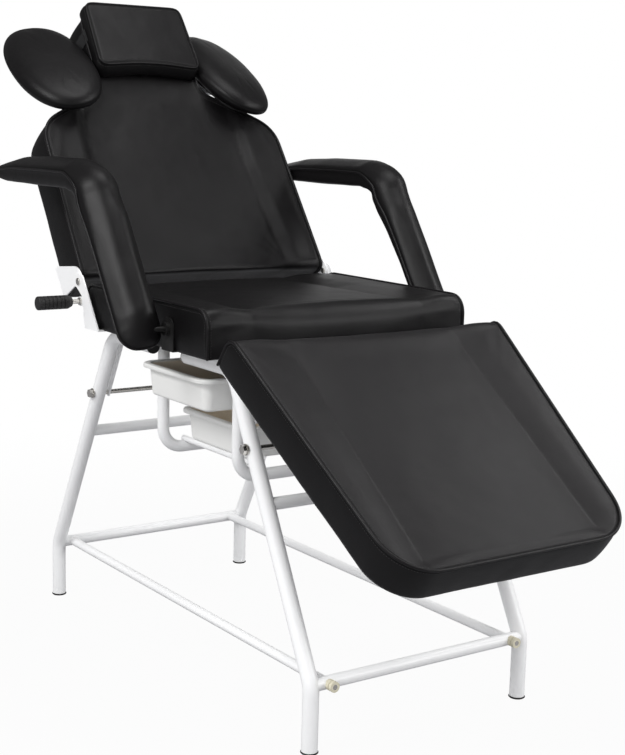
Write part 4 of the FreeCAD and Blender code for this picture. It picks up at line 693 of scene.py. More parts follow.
class Cushion:
    # a foam slab under a stretched cover: a top that may wrap down over an end, a side band,
    # a hem folded under the board and a hollow in which the board sits
    def __init__(self, name, shape):
        self.name = name
        self.shape = shape
        self.draft = Draft()
        self.direction = 1 if shape["end"] > shape["start"] else -1
        self.hemZ = shape["base"] - sewing["skin"]
        height = shape["top"] - self.hemZ
        count = max(3, round(sewing["levels"] * height / 90.0))
        near = [0.0, sewing["crevice"][0] / height, sewing["seamRow"][0] / height]
        self.shares = near + [near[-1] + (1 - near[-1]) * i / count for i in range(1, count + 1)]
        ends = (("start", -self.direction), ("end", self.direction))
        self.wraps = [(shape[end], shape[end + "Wrap"], sign) for end, sign in ends if shape[end + "Wrap"]]

    def wrapped(self, s, y, lift):
        # s runs along the flat top and on round each wrapped end, down its face
        c = self.shape
        for end, radius, sign in self.wraps:
            past = (s - (end - sign * radius)) * sign
            if past > 0:
                turn = min(past / radius, math.pi / 2)
                down = max(0.0, past - radius * math.pi / 2)
                x = end - sign * radius + sign * (radius + lift) * math.sin(turn)
                z = c["top"] - radius + (radius + lift) * math.cos(turn) - down
                return Vector((x, y, z)), Vector((sign * math.sin(turn), 0, math.cos(turn)))
        sunk = c["sunk"] * smoothStep(*c["sunkFrom"], -s) if c["sunk"] else 0
        return Vector((s, y, c["top"] + lift - sunk)), Vector((0, 0, 1))

    def wrapRun(self, end, radius, sign):
        # s values from the bottom of a wrapped end up to where the top begins
        c = self.shape
        face = c["top"] - radius - self.hemZ
        arc = radius * math.pi / 2
        far = end - sign * radius + sign * (arc + face)
        bends = max(3, math.ceil(arc / sewing["step"]))
        run = [far - sign * face * (1 - t) for t in reversed(self.shares[1:])]
        run += [end - sign * radius + sign * arc * (1 - i / bends) for i in range(bends)]
        return run, len(self.shares) - 1

    def rimSide(self):
        # the piping line on the far side: (s, y, outward direction, is on a wrapped face)
        c, way = self.shape, self.direction
        corners = [Vector(corner) for corner in c["corners"]]
        if c["startWrap"]:
            corners[0] = corners[0] + (corners[1] - corners[0]).normalized() * c["startWrap"]
        if c["endWrap"]:
            corners[-1] = corners[-1] + (corners[-2] - corners[-1]).normalized() * c["endWrap"]
        flat = roundedLine(corners, c["radii"], sewing["step"])
        rim = []
        if c["startWrap"]:
            run, levels = self.wrapRun(c["start"], c["startWrap"], -way)
            rim += [(s, flat[0].y, Vector((0, 1)), i < levels) for i, s in enumerate(run)]
        for i, p in enumerate(flat):
            along = flat[min(i + 1, len(flat) - 1)] - flat[max(i - 1, 0)]
            out = Vector((-along.y, along.x)).normalized() * way
            rim.append((p.x, p.y, out, False))
        if c["endWrap"]:
            run, levels = self.wrapRun(c["end"], c["endWrap"], way)
            rim += [(s, flat[-1].y, Vector((0, 1)), i < levels) for i, s in reversed(list(enumerate(run)))]
        return rim

    def channelAt(self, s):
        low, high = sorted((self.shape["start"], self.shape["end"]))
        return lineValue(self.shape["channel"], min(max(s, low), high))

    def liftAt(self, s, y, seamDistance):
        # height of the cover over its seam line: raised wings, a sewn channel, a low crowned middle
        c, way = self.shape, self.direction
        low, high = sorted((c["start"], c["end"]))
        x = min(max(s, low), high)
        if not c["channel"]:
            across = 1 - (y / c["crownReach"]) ** 2
            along = 1 - ((x - (low + high) / 2) / ((high - low) / 2)) ** 2
            return c["crown"] * max(0.0, across * along) ** 0.6
        channel = self.channelAt(s)
        past = abs(y) - channel
        near = 1 - math.exp(-seamDistance / sewing["rise"])
        if past > 0:
            risen = smoothStep(0, lineValue(c["flank"], x), past)
            lift = c["crest"] * risen * (1 - math.exp(-seamDistance / sewing["wingRise"])) \
                - c["drop"] * (1 - risen) * near
        else:
            lift = (c["crown"] * (1 - (y / channel) ** 2) - c["drop"]) * near
        lift -= c["sewn"] * math.exp(-(past / sewing["channelHalf"]) ** 2) * near
        if not c["endWrap"]:
            lift *= smoothStep(0, sewing["openEnd"], abs(c["end"] - x))
        wrappedHigh = c["endWrap"] if way > 0 else c["startWrap"]
        wrappedLow = c["startWrap"] if way > 0 else c["endWrap"]
        beyond = max((low - s) if wrappedLow else -1e9, (s - high) if wrappedHigh else -1e9)
        lift *= 1 - smoothStep(-75, 25, beyond) * (1 - c["keptRound"])
        if not c["roll"]:
            return lift
        place, width = c["rollAt"]
        roll = c["roll"] * math.exp(-((s - high + place) / width) ** 2)
        place, width = c["foldAt"]
        wander = 5 * noise.noise(Vector((y / 90, 1, 0)))
        roll -= c["rollFold"] * math.exp(-((s - high + place + wander) / width) ** 2)
        return lift + roll * near

    def build(self):
        c = self.shape
        side = self.rimSide()
        other = [(s, -y, Vector((out.x, -out.y)), face) for s, y, out, face in side]
        step = sewing["step"]
        loop = [(s, y) for s, y, _, _ in side]

        def acrossFace(wrapped, s, y):
            # points straight across the bottom of a wrapped end
            count = round(2 * y / step)
            return [(s, y * (1 - 2 * i / count)) for i in range(1, count)] if wrapped else []

        endEdge = acrossFace(c["endWrap"], *loop[-1])
        startEdge = [(s, -y) for s, y in acrossFace(c["startWrap"], *loop[0])]
        otherLoop = [(s, y) for s, y, _, _ in reversed(other)]
        if not c["endWrap"]:
            otherLoop = otherLoop[1:]
        if not c["startWrap"]:
            otherLoop = otherLoop[:-1]
        loop = loop + endEdge + otherLoop + startEdge
        seamTree = KDTree(len(side) * 2)
        for i, (s, y, _, _) in enumerate(side + other):
            seamTree.insert((s, y, 0), i)
        seamTree.balance()

        def seamDistance(s, y):
            return seamTree.find((s, y, 0))[2]

        rowPoints, rowLift = [], {}  # points in rows beside the piping
        for distance, dip in (sewing["crevice"], sewing["seamRow"]):
            for rim, sign in ((side, 1), (other, -1)):
                for s, y, out, _ in rim:
                    p = (s - out.x * distance, y - out.y * distance)
                    if self.insideLoop(p, side) and seamDistance(*p) > distance * 0.9 and p[1] * sign >= 0:
                        rowPoints.append(p)
                        rowLift[(round(p[0], 1), round(p[1], 1))] = (distance, dip)
        clearOfRim = sewing["seamRow"][0] + step * 0.55

        lines = []
        sLow, sHigh = min(p[0] for p in loop), max(p[0] for p in loop)
        if c["channel"]:
            run = [sLow + step * (i + 1) for i in range(int((sHigh - sLow) / step) - 1)]
            for sign in (1, -1):
                line = [(s, sign * self.channelAt(s)) for s in run if s > c["channelFrom"]]
                lines.append([p for p in line
                              if seamDistance(*p) > clearOfRim + 2 and self.insideLoop(p, side)])
        lineTree = KDTree(max(1, sum(len(l) for l in lines)))
        for line in lines:
            for p in line:
                lineTree.insert((*p, 0), 0)
        lineTree.balance()
        inner = list(rowPoints)
        count = 0
        yHigh = max(p[1] for p in loop)
        s = sLow + step * 0.7
        while s < sHigh - step * 0.5:
            y = -yHigh + (step / 2 if count % 2 else 0)
            while y < yHigh:
                clear = seamDistance(s, y) > clearOfRim and self.insideLoop((s, y), side)
                if clear and lines:
                    clear = lineTree.find((s, y, 0))[2] > step * 0.6
                if clear:
                    inner.append((s, y))
                y += step
            s += step * 0.866
            count += 1

        onRim = {(round(s, 2), round(y, 2)) for s, y in loop}

        def topPlace(s, y):
            lift = 0
            if (round(s, 2), round(y, 2)) not in onRim:
                distance, dip = rowLift.get((round(s, 1), round(y, 1))) or (seamDistance(s, y), 0)
                lift = self.liftAt(s, y, distance) - dip
            return self.wrapped(s, y, lift)[0]

        for points, mark in ((loop, "rim"), (rowPoints, "row"), (sum(lines, []), "channel")):
            for s, y in points:
                self.draft.point(topPlace(s, y), mark)
        self.draft.fill(loop, inner, lines, topPlace, "top", self.direction < 0)
        self.topFaces = len(self.draft.faces)
        self.buildUnderside(*self.buildBand(side, other), endEdge, startEdge)
        self.findRims(side, other)

    def insideLoop(self, p, side):
        # true where a point of the cover lies inside the piping line
        s, y = p
        c = self.shape
        low, high = sorted((c["start"], c["end"]))
        if c["startWrap"] and (s - c["start"]) * self.direction < c["startWrap"]:
            return abs(y) < side[0][1] - 0.1
        if c["endWrap"] and (c["end"] - s) * self.direction < c["endWrap"]:
            return abs(y) < side[-1][1] - 0.1
        if not low < s < high:
            return False
        width = 0
        for (s0, y0, _, _), (s1, y1, _, _) in zip(side, side[1:]):
            if min(s0, s1) <= s <= max(s0, s1) and abs(s1 - s0) > 1e-6:
                width = max(width, y0 + (y1 - y0) * (s - s0) / (s1 - s0))
        return abs(y) < width - 0.1

    def column(self, s, y, out):
        # points of the side band from the piping down to the hem
        top = self.wrapped(s, y, 0)[0]
        flare = self.shape["flare"]
        column = []
        for i, t in enumerate(self.shares):
            swell = sewing["bulge"] * (4 * t * (1 - t)) ** 0.8
            if i in (1, 2):
                swell -= sewing["crevice"][1] if i == 1 else sewing["seamRow"][1]
            swell += (flare[0] + flare[1] * max(0.0, out.x)) * t
            z = top.z + (self.hemZ - top.z) * t
            column.append(Vector((top.x + out.x * swell, y + out.y * swell, z)))
        return column

    def buildBand(self, side, other):
        flip = self.direction < 0
        folds = [end + sign * radius * (math.pi / 2 - 1) for end, radius, sign in self.wraps]
        bottoms = []
        for rim, mirrored in ((side, False), (other, True)):
            columns = []
            for s, y, out, face in rim:
                if face:
                    continue
                atEnd = any(abs(s - fold) < 0.01 for fold in folds)
                points = self.column(s, y, Vector((0, 0)) if atEnd else out)
                marks = ["rim", "row", "row"] + ["band"] * (len(points) - 4) + ["base"]
                columns.append([self.draft.point(p, m) for p, m in zip(points, marks)])
            for a, b in zip(columns, columns[1:]):
                for i in range(len(a) - 1):
                    corners = (a[i], a[i + 1], b[i + 1], b[i])
                    self.draft.face(*(corners[::-1] if mirrored == flip else corners))
            bottoms.append([self.draft.points[col[-1]].copy() for col in columns])
        return bottoms

    def buildUnderside(self, far, near, endEdge, startEdge):
        c = self.shape
        near = near[::-1] if c["endWrap"] else near[-2::-1]  # unwrapped ends share their middle point
        if not c["startWrap"]:
            near = near[:-1]
        loop = [(p.x, p.y) for p in far] + [(c["end"], y) for _, y in endEdge]
        loop += [(p.x, p.y) for p in near] + [(c["start"], y) for _, y in startEdge]
        if self.direction < 0:
            loop = loop[::-1]
        # the loop now runs clockwise seen from above; each ring is set in from it
        count = len(loop)

        def inset(distance):
            ring = []
            for i in range(count):
                here = Vector(loop[i])
                a = (here - Vector(loop[i - 1])).normalized()
                b = (Vector(loop[(i + 1) % count]) - here).normalized()
                na, nb = Vector((a.y, -a.x)), Vector((b.y, -b.x))
                ring.append(here + (na + nb) / max(0.4, 1 + na.dot(nb)) * distance)
            return ring

        hem, low, inner = sewing["hemWidth"], self.hemZ, sewing["hemClear"]
        high = low + sewing["hemThickness"]
        heights = [(0, low), (hem, low), (hem, high), (inner, high), (inner, c["boardTop"] + 0.4)]
        if c["base"] == c["boardTop"]:  # no board to stand over
            heights = heights[:1]
        rings = [[self.draft.point((p.x, p.y, z), "base") for p in inset(distance)]
                 for distance, z in heights]
        for a, b in zip(rings, rings[1:]):
            for i in range(count):
                j = (i + 1) % count
                self.draft.face(a[i], a[j], b[j], b[i])
        distance, z = heights[-1]
        self.draft.fill([(p.x, p.y) for p in inset(distance)], [], [], lambda x, y: Vector((x, y, z)),
                        "base", True)

    def findRims(self, side, other):
        # each run of piping as (point number, outward, upward) in order, and whether it is closed
        runs = []
        for rim in (side, other):
            run = []
            for s, y, out, _ in rim:
                place, up = self.wrapped(s, y, 0)
                run.append((self.draft.point(place, "rim"), Vector((out.x, out.y, 0)), up))
            runs.append(run)
        c = self.shape
        if c["startWrap"] and c["endWrap"]:
            self.rims = [(run, False) for run in runs]
        elif c["startWrap"]:
            self.rims = [(runs[0] + runs[1][::-1][1:], False)]
        else:
            self.rims = [(runs[0] + runs[1][::-1][1:-1], True)]


def addCloth(obj, marks):
    held = obj.vertex_groups.new(name="held")
    for number, mark in enumerate(marks):
        held.add([number], heldShare[mark], "REPLACE")
    cloth = obj.modifiers.new("cloth", "CLOTH")
    settings = cloth.settings
    settings.quality = 6
    settings.mass = 0.25
    settings.tension_stiffness = settings.compression_stiffness = 22
    settings.shear_stiffness = 12
    settings.bending_stiffness = 1.2
    settings.use_pressure = True
    settings.uniform_pressure_force = sewing["pressure"]
    settings.shrink_min = 0.003
    settings.effector_weights.gravity = 0
    settings.vertex_group_mass = "held"
    cloth.point_cache.frame_start = 1
    cloth.point_cache.frame_end = sewing["frames"]


def inflate(jobs):
    # runs every cover's cloth at once, then keeps each point within its cap of where it was drawn
    for obj, marks, _ in jobs:
        addCloth(obj, marks)
    for number in range(1, sewing["frames"] + 1):
        scene.frame_set(number)
    graph = bpy.context.evaluated_depsgraph_get()
    for obj, _, cap in jobs:
        swollen = [v.co.copy() for v in obj.evaluated_get(graph).data.vertices]
        limit = cap * millimetre
        farthest = 0
        for vertex, after in zip(obj.data.vertices, swollen):
            move = after - vertex.co
            farthest = max(farthest, move.length)
            if move.length > 1e-7:
                vertex.co += move * (limit * math.tanh(move.length / limit) / move.length)
        obj.modifiers.remove(obj.modifiers["cloth"])
        obj.vertex_groups.clear()
        print("inflated", obj.name, "largest free move mm", round(farthest / millimetre, 1))
    scene.frame_set(1)


def markSeams(obj, rimPoints, reach):
    # how near each point is to a seam, for the paler stretched look along it and for the painted shade in
    # the crevice beside it
    tree = KDTree(len(rimPoints))
    for i, p in enumerate(rimPoints):
        tree.insert(p, i)
    tree.balance()
    distances = [tree.find(vertex.co)[2] / millimetre for vertex in obj.data.vertices]
    deep = sewing["crevice"][0]
    nearSeam = [math.exp(-d / reach) for d in distances]
    # painted shade: a narrow band at the crevice beside the piping, darkened in the leatherette
    crevice = [math.exp(-((d - deep) / sewing["creviceWidth"]) ** 2) for d in distances]
    for name, values in (("nearSeam", nearSeam), ("crevice", crevice)):
        obj.data.attributes.new(name, "FLOAT", "POINT").data.foreach_set("value", values)
    return tree


def pucker(obj, tree, lengths, depth):
    # small gathers square to the seam, and slow hollows over the whole cover
    mesh = obj.data
    normals = [v.normal.copy() for v in mesh.vertices]
    for vertex, normal in zip(mesh.vertices, normals):
        _, index, distance = tree.find(vertex.co)
        distance /= millimetre
        along = lengths[index]
        drift = 3 * noise.noise(Vector((along / 60, 0, 3)))
        wave = math.sin(2 * math.pi * along / sewing["puckerLength"] + drift)
        strength = 0.35 + 0.65 * noise.noise(Vector((along / 45, 2, 0)))
        near = math.exp(-distance / sewing["puckerReach"]) * min(1.0, distance / 3)
        gather = depth * wave * max(0.0, strength) * near
        slow = noise.noise(vertex.co * 11) + 0.5 * noise.noise(vertex.co * 27)
        vertex.co += normal * (gather + slow * min(1.0, distance / 20)) * millimetre
    mesh.update()


def creaseRims(obj, marks):
    values = []
    for edge in obj.data.edges:
        a, b = (marks[v] for v in edge.vertices)
        values.append(creases.get(a, 0) if a == b else 0)
    obj.data.attributes.new("crease_edge", "FLOAT", "EDGE").data.foreach_set("value", values)


def refine(obj):
    subdivision = obj.modifiers.new("subdivision", "SUBSURF")
    subdivision.levels = subdivision.render_levels = 1


def surfaceOf(obj):
    return BVHTree.FromObject(obj, bpy.context.evaluated_depsgraph_get())


def addTrim(name, body, piping, stitches):
    # points are in metres, in place
    for word, finish, (points, faces) in (("Piping", "piping", piping), ("Stitches", "thread", stitches)):
        addPiece(name + word, points, faces, finish, body, put=Matrix.Scale(1 / millimetre, 4))


def dressCushion(cushion, obj, body):
    # piping on the seam line and a row of stitches each side of it
    turn = cushion.shape["place"].to_3x3()
    surface = surfaceOf(obj)
    pipes, pipeFaces, threads, threadFaces = [], [], [], []
    for run, closed in cushion.rims:
        line = []
        for number, out, up in run:
            lean = (turn @ (out + up)).normalized()
            line.append(obj.data.vertices[number].co + lean * 0.9 * millimetre)
        radius = sewing["pipingRadius"] * cushion.shape["pipeShare"] * millimetre
        points, faces = tubeAlong(smoothed(line, 2, closed), radius, 10, closed)
        pipeFaces += [tuple(v + len(pipes) for v in f) for f in faces]
        pipes += points
        for inward in ("cover", "band"):
            row = []
            for number, out, up in run:
                into = turn @ (-out if inward == "cover" else -up)
                row.append(obj.data.vertices[number].co + into * stitching["fromPiping"] * millimetre)
            if closed:
                row.append(row[0])
            stitchRow(row, surface, threads, threadFaces)
    addTrim(cushion.name, body, (pipes, pipeFaces), (threads, threadFaces))


def makeCushion(name, own):
    shape = {**plainCushion, **own}
    cushion = Cushion(name, shape)
    cushion.build()
    draft = cushion.draft
    obj = addPiece(name + "Cover", draft.points, draft.faces, shape["finish"], bodyOf(shape["node"]),
                   put=shape["place"])
    if len(obj.data.polygons) == len(draft.faces):
        # the side band faces take the darker copy of the leatherette, painted shade on the upright faces
        obj.data.materials.append(finishes["side"])
        for polygon in obj.data.polygons[cushion.topFaces:]:
            polygon.material_index = 1
    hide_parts(shape["node"])
    return cushion, obj


cushions = [makeCushion(name, own)
            for name, own in (("seat", seat), ("back", back), ("legRest", legRest), ("pillow", pillow))]
print("cushions drawn:", [len(obj.data.vertices) for _, obj in cushions])


# arm rests
armRest = {
    "innerY": 320.5, "width": 87.0, "underZ": 970.0, "backEnd": -586.0,
    "knee": -133.0, "lean": 34.0, "lowZ": 701.0, "lowReach": 14.5, "kneeRadius": 22.0,
    "tipRound": 40.0, "endRound": 36.0, "tipRise": 110.0, "toe": 60.0, "step": 7.0, "around": 9, "cap": 3.0,
    "pipingRadius": 2.6, "belly": 3.0, "bellyReach": 170, "fold": 1.8, "foldPitch": 4.6, "foldReach": 62,
    "tuck": 0.965, "dip": 1.1, "creviceStep": 0.42, "gather": 0.4, "seamReach": 6,
    # pairs of the distance from the back tip and a height above the underside
    "seam": [(0, 14), (75, 23), (150, 29), (300, 31), (402, 31), (425, 22), (450, 7), (475, -4), (500, -5),
             (540, 0), (600, 3), (900, 3)],
    "innerSeam": [(0, 0), (440, 0), (520, 11), (760, 11), (810, 5)],
    "crown": [(0, 0), (20, 10), (48, 18), (86, 22), (136, 27), (255, 31), (400, 31), (425, 37), (450, 45),
              (475, 51), (500, 51), (540, 46), (600, 42), (740, 40), (900, 38)],
    "below": [(0, 0), (400, 0), (440, 8), (475, 15), (510, 14), (560, 6), (640, 0), (900, 0)],
}


def armLine():
    # the underside of the arm in the side view, from its back tip over the bend to its low end
    a = armRest
    lean = math.radians(a["lean"])
    run = (a["underZ"] - a["lowZ"]) / math.cos(lean) + 2 * a["lowReach"]
    low = (a["knee"] + run * math.sin(lean), a["underZ"] - run * math.cos(lean))
    corners = [(a["backEnd"], a["underZ"]), (a["knee"], a["underZ"]), low]
    return roundedLine(corners, [0, a["kneeRadius"], 0], a["step"])


def armProfile(distance, total):
    # half width, seam height, crown, fullness of the tip, lift of the inner seam and drop of the underside
    a = armRest
    width = half = a["width"] / 2
    for gone, radius in ((distance, a["tipRound"]), (total - distance, a["endRound"])):
        if gone < radius:
            width = min(width, half - radius + math.sqrt(max(0.0, radius ** 2 - (radius - gone) ** 2)))
    seam, crown, inside, below = (lineValue(a[key], distance)
                                  for key in ("seam", "crown", "innerSeam", "below"))
    toe = math.sqrt(min(1.0, max(0.0, (total - distance) / a["toe"])))
    lift = 1 - min(1.0, max(0.0, distance) / a["tipRise"]) ** 0.6
    return width, seam, crown * toe, lift, inside, below


def armSpots(total):
    # places along the arm, close together where its ends are round in plan
    a = armRest
    spots = []
    for radius, fromStart in ((a["tipRound"], True), (a["endRound"], False)):
        count = math.ceil(radius * math.pi / 2 / a["step"])
        gone = [radius * (1 - math.cos(math.pi / 2 * i / count)) for i in range(count + 1)]
        spots.append(gone if fromStart else [total - g for g in reversed(gone)])
    start, end = spots[0][-1], spots[1][0]
    count = round((end - start) / a["step"])
    middle = [start + (end - start) * i / count for i in range(1, count)]
    return spots[0] + middle + spots[1]


def placeOnLine(line, lengths, distance):
    # the point of a line at a distance along it, and the line's direction there
    for i in range(len(line) - 1):
        if distance <= lengths[i + 1] or i == len(line) - 2:
            t = (distance - lengths[i]) / (lengths[i + 1] - lengths[i])
            here = line[i].lerp(line[i + 1], t)
            before = line[max(i - 1, 0)]
            after = line[min(i + 2, len(line) - 1)]
            return here, (after - before).normalized()


def makeArmRest(name, node, side):
    a = armRest
    line = armLine()
    lengths = travelledAlong(line, 1)
    total = lengths[-1]
    middleY = a["innerY"] + a["width"] / 2
    draft = Draft()
    rings, rimOuter, rimInner = [], [], []
    kneeAt = a["knee"] - a["backEnd"]
    across, tuck = a["around"], a["tuck"]
    for distance in armSpots(total):
        width, rise, crown, lift, inside, below = armProfile(distance, total)
        here, along = placeOnLine(line, lengths, distance)
        up = Vector((-along.y, along.x))
        low = rise * 0.94 * lift - below
        belly = a["belly"] * math.exp(-((distance - kneeAt * 0.55) / a["bellyReach"]) ** 2)
        nearKnee = 1 - abs(distance - kneeAt) / a["foldReach"]
        ring, marks = [], []

        def put(y, n, mark, ring=ring, marks=marks, here=here, up=up):
            ring.append(Vector((here.x + up.x * n, (middleY + y) * side, here.y + up.y * n)))
            marks.append(mark)

        for i in range(across + 1):  # underside, from the inner edge to the outer
            y = -width + 2 * width * i / across
            fold = a["fold"] * math.sin((distance - kneeAt) / a["foldPitch"] + 1.2 * math.sin(i * 1.1))
            bow = belly * (1 - (y / max(width, 1)) ** 2)
            put(y * tuck, low - bow + fold * max(0.0, nearKnee), "base" if 1 < i < across - 1 else "band")
        for i in range(1, 4):
            put(width * (tuck + (1 - tuck) * min(1, i / 2)) - (a["dip"] if i == 3 else 0),
                low + (rise - low) * i / 4, "row")
        put(width, rise, "rim")
        rimOuter.append((len(rings), len(ring) - 1))
        steps = across + 3
        beside = (a["creviceStep"], steps - a["creviceStep"])  # the two rows beside the piping
        for i in [beside[0], *range(1, steps), beside[1]]:
            t = -math.cos(math.pi * i / steps)
            near = i in beside
            put(-t * (width - (1.2 if near else 0)),
                rise + inside * (t + 1) / 2 + crown * (1 - abs(t) ** 2.1) ** 0.72, "row" if near else "top")
        put(-width, rise + inside, "rim")
        rimInner.append((len(rings), len(ring) - 1))
        for i in range(3, 0, -1):
            put(-width * (tuck + (1 - tuck) * min(1, i / 2)) + (a["dip"] if i == 3 else 0),
                low + (rise + inside - low) * i / 4, "row")
        rings.append([draft.point(p, m) for p, m in zip(ring, marks)])
    flip = side < 0
    for first, second in zip(rings, rings[1:]):
        for k in range(len(first)):
            j = (k + 1) % len(first)
            corners = (first[k], second[k], second[j], first[j])
            draft.face(*(corners[::-1] if flip else corners))
    draft.face(*(rings[0][::-1] if flip else rings[0]))
    draft.face(*(rings[-1] if flip else rings[-1][::-1]))
    obj = addPiece(name + "Cover", draft.points, draft.faces, "cover", bodyOf(node))
    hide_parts(node)
    outer = [rings[r][k] for r, k in rimOuter]
    inner = [rings[r][k] for r, k in rimInner]
    return obj, draft, outer, inner, side, name, node


arms = [makeArmRest("armFar", "armrest_far", 1), makeArmRest("armNear", "armrest_near", -1)]
print("arm rests drawn")


# ear pads
earPad = {
    "halfLength": 165.0, "halfWidth": 94.5, "roundness": 2.28, "thickness": 59.0, "boardThickness": 9.0,
    "pitch": 25.0, "droop": 11.0, "middleY": 226.8, "boardDrop": 17.8, "rodFromEnd": 526.5,
    "rodDepth": 65.4, "around": 72, "cap": 3.0, "seamLevel": 0.36, "gather": 0.3,
    "seamReach": 5,
    # pairs of the share of the height and the share of the full oval
    "form": [(0.0, 0.80), (0.02, 0.865), (0.07, 0.93), (0.16, 0.972), (0.25, 0.992), (0.33, 1.0),
             (0.36, 0.992), (0.42, 0.998), (0.52, 0.985), (0.63, 0.955), (0.73, 0.91), (0.82, 0.85),
             (0.89, 0.775), (0.945, 0.67), (0.975, 0.54), (0.992, 0.38), (1.0, 0.2)],
}


def ovalPoint(scale, share):
    # a point of a slightly squared oval at a share of a full turn
    a = earPad["halfLength"] * scale
    b = earPad["halfWidth"] * scale
    power = 2 / earPad["roundness"]
    c, s = math.cos(2 * math.pi * share), math.sin(2 * math.pi * share)
    return math.copysign(abs(c) ** power * a, c), math.copysign(abs(s) ** power * b, s)


def makeEarPad(name, node, side):
    e = earPad
    draft = Draft()
    rodX = back["start"] - e["rodFromEnd"]
    rodZ = back["top"] + 2.0 - e["rodDepth"]
    put = turnedAt(backPivot, backAngle) @ turnedAt(Vector((rodX, 0, rodZ)), -e["pitch"]) \
        @ Matrix.Translation((rodX, e["middleY"], rodZ + e["thickness"] / 2 + e["boardDrop"])) \
        @ Matrix.Rotation(math.radians(-e["droop"]), 4, "X")
    low = -e["thickness"] / 2 + e["boardThickness"]
    height = e["thickness"] - e["boardThickness"]
    rings = []
    for level, scale in e["form"]:
        ring = []
        mark = {0.0: "base", e["seamLevel"]: "rim"}.get(level, "top")
        for i in range(e["around"]):
            x, y = ovalPoint(scale, i / e["around"])
            place = put @ Vector((x, y, low + height * level))
            place.y *= side
            ring.append(draft.point(place, mark))
        rings.append(ring)
        if mark == "rim":
            seam = ring
    flip = side < 0
    count = e["around"]
    for a, b in zip(rings, rings[1:]):
        for i in range(count):
            j = (i + 1) % count
            corners = (a[i], a[j], b[j], b[i])
            draft.face(*(corners[::-1] if flip else corners))
    for level, ring, up in ((1.004, rings[-1], True), (0, rings[0], False)):
        centre = put @ Vector((0, 0, low + height * level))
        middle = draft.point(Vector((centre.x, centre.y * side, centre.z)), "top" if up else "base")
        for i in range(count):
            j = (i + 1) % count
            corners = (ring[i], ring[j], middle)
            draft.face(*(corners if up != flip else corners[::-1]))
    obj = addPiece(name + "Cover", draft.points, draft.faces, "cover", bodyOf(node))
    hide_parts(node)
    return obj, draft, seam


ears = [makeEarPad("earFar", "ear_pad_cushion_far", 1), makeEarPad("earNear", "ear_pad_cushion_near", -1)]
print("ear pads drawn")

inflate([(obj, cushion.draft.marks, cushion.shape["cap"]) for cushion, obj in cushions]
        + [(obj, draft.marks, armRest["cap"]) for obj, draft, *_ in arms]
        + [(obj, draft.marks, earPad["cap"]) for obj, draft, _ in ears])


def finishCover(obj, lines, reach, depth, marks=()):
    # gathers and marks beside the seams, whose rows of points are lines
    points = sum(lines, [])
    tree = markSeams(obj, points, reach)
    pucker(obj, tree, sum((travelledAlong(line) for line in lines), []), depth)
    if marks:
        creaseRims(obj, marks)
    refine(obj)


def pointsOf(obj, numbers):
    return [obj.data.vertices[number].co.copy() for number in numbers]


for cushion, obj in cushions:
    lines = [pointsOf(obj, [number for number, _, _ in run]) for run, _ in cushion.rims]
    depth = sewing["pucker"] * cushion.shape["puckered"]
    finishCover(obj, lines, sewing["seamReach"], depth, cushion.draft.marks)
    dressCushion(cushion, obj, bodyOf(cushion.shape["node"]))
for obj, draft, outer, inner, side, name, node in arms:
    finishCover(obj, [pointsOf(obj, outer), pointsOf(obj, inner)], armRest["seamReach"], armRest["gather"],
                draft.marks)
    surface = surfaceOf(obj)
    pipe = smoothed(pointsOf(obj, outer + inner[::-1]), 2, True)
    threads, threadFaces = [], []
    for numbers, sign in ((outer, 1), (inner, -1)):
        inward = Vector((0, -sign * side * stitching["fromPiping"] * millimetre, 0))
        stitchRow([place + inward for place in pointsOf(obj, numbers)], surface, threads, threadFaces)
    addTrim(name, bodyOf(node), tubeAlong(pipe, armRest["pipingRadius"] * millimetre, 10, True),
            (threads, threadFaces))
for obj, draft, seam in ears:
    finishCover(obj, [pointsOf(obj, seam)], earPad["seamReach"], earPad["gather"])
print("covers sewn")


# trays
tray = {
    "halfX": 120.0, "halfY": 143.0, "height": 68.0, "wall": 2.4, "taper": 6.0, "corner": 22.0,
    "rim": 13.0, "lip": 9.0, "edge": 7.0, "edgeRound": 0.5, "middleX": -29.5,
}


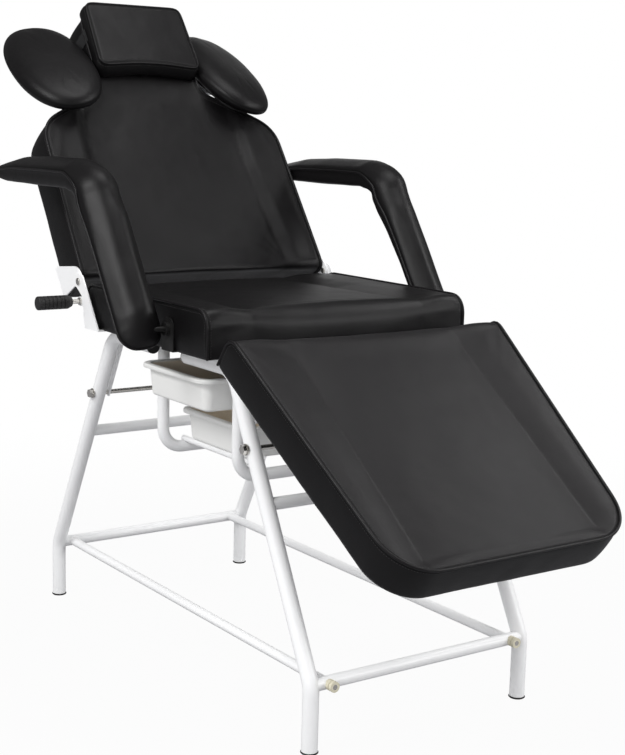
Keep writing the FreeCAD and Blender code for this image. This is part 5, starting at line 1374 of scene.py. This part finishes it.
def roundedRing(halfX, halfY, radius, z, arcs=6):
    # a level rectangle with round corners
    ring = []
    for cx, cy, start in ((1, 1, 0), (-1, 1, 90), (-1, -1, 180), (1, -1, 270)):
        for i in range(arcs + 1):
            turn = math.radians(start + 90 * i / arcs)
            ring.append(Vector((cx * (halfX - radius) + radius * math.cos(turn),
                                cy * (halfY - radius) + radius * math.sin(turn), z)))
    return ring


def makeTray(name, node):
    t = tray
    low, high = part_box(node)
    floorZ = low.z / millimetre
    middleY = (low.y + high.y) / 2 / millimetre
    height, wall, rim, lip = t["height"], t["wall"], t["rim"], t["lip"]
    foot, bottom = -t["taper"], t["edge"]
    profile = [  # grow, height, is inside
        (foot - bottom, 0.0, 0), (foot - 3.2, 1.4, 0), (foot - 0.8, 4.0, 0), (foot, bottom + 1, 0),
        (-1.2, height - 13, 0), (-0.8, height - 5, 0), (0.4, height - 3.0, 0), (rim - 2.8, height - 2.6, 0),
        (rim - 2.4, height - 3.4, 0), (rim - 2.2, height - lip, 0), (rim, height - lip, 0),
        (rim, height - 2.6, 0), (rim - 0.8, height - 0.7, 0), (rim - 2.8, height, 0), (1.5, height + 0.2, 0),
        (-0.8, height - 0.4, 0), (-2.4, height - 1.8, 0.15), (-2.9, height - 5, 1),
        (foot - wall, bottom + wall + 1, 1), (foot - 4.6, 6.0, 1), (foot - bottom - wall, wall, 1),
    ]
    points, faces, inside = [], [], []
    for grow, z, isInside in profile:
        ring = roundedRing(t["halfX"] + grow, t["halfY"] + grow, max(4.0, t["corner"] + grow), floorZ + z)
        points += [p + Vector((t["middleX"], middleY, 0)) for p in ring]
        inside += [float(isInside)] * len(ring)
    count = len(points) // len(profile)
    for r in range(len(profile) - 1):
        for i in range(count):
            j = (i + 1) % count
            faces.append((r * count + i, r * count + j, (r + 1) * count + j, (r + 1) * count + i))
    faces.append(tuple(range(count))[::-1])
    faces.append(tuple(range(len(points) - count, len(points))))
    obj = addPiece(name, points, faces, "tray", bodyOf(node))
    # marks the inner faces for the painted warm bounce light
    obj.data.attributes.new("inside", "FLOAT", "POINT").data.foreach_set("value", inside)
    bevel = obj.modifiers.new("edges", "BEVEL")
    bevel.width = t["edgeRound"] * millimetre
    bevel.limit_method = "ANGLE"
    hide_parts(node)


makeTray("upperTray", "upper_tray")
makeTray("lowerTray", "lower_tray")
print("trays made")
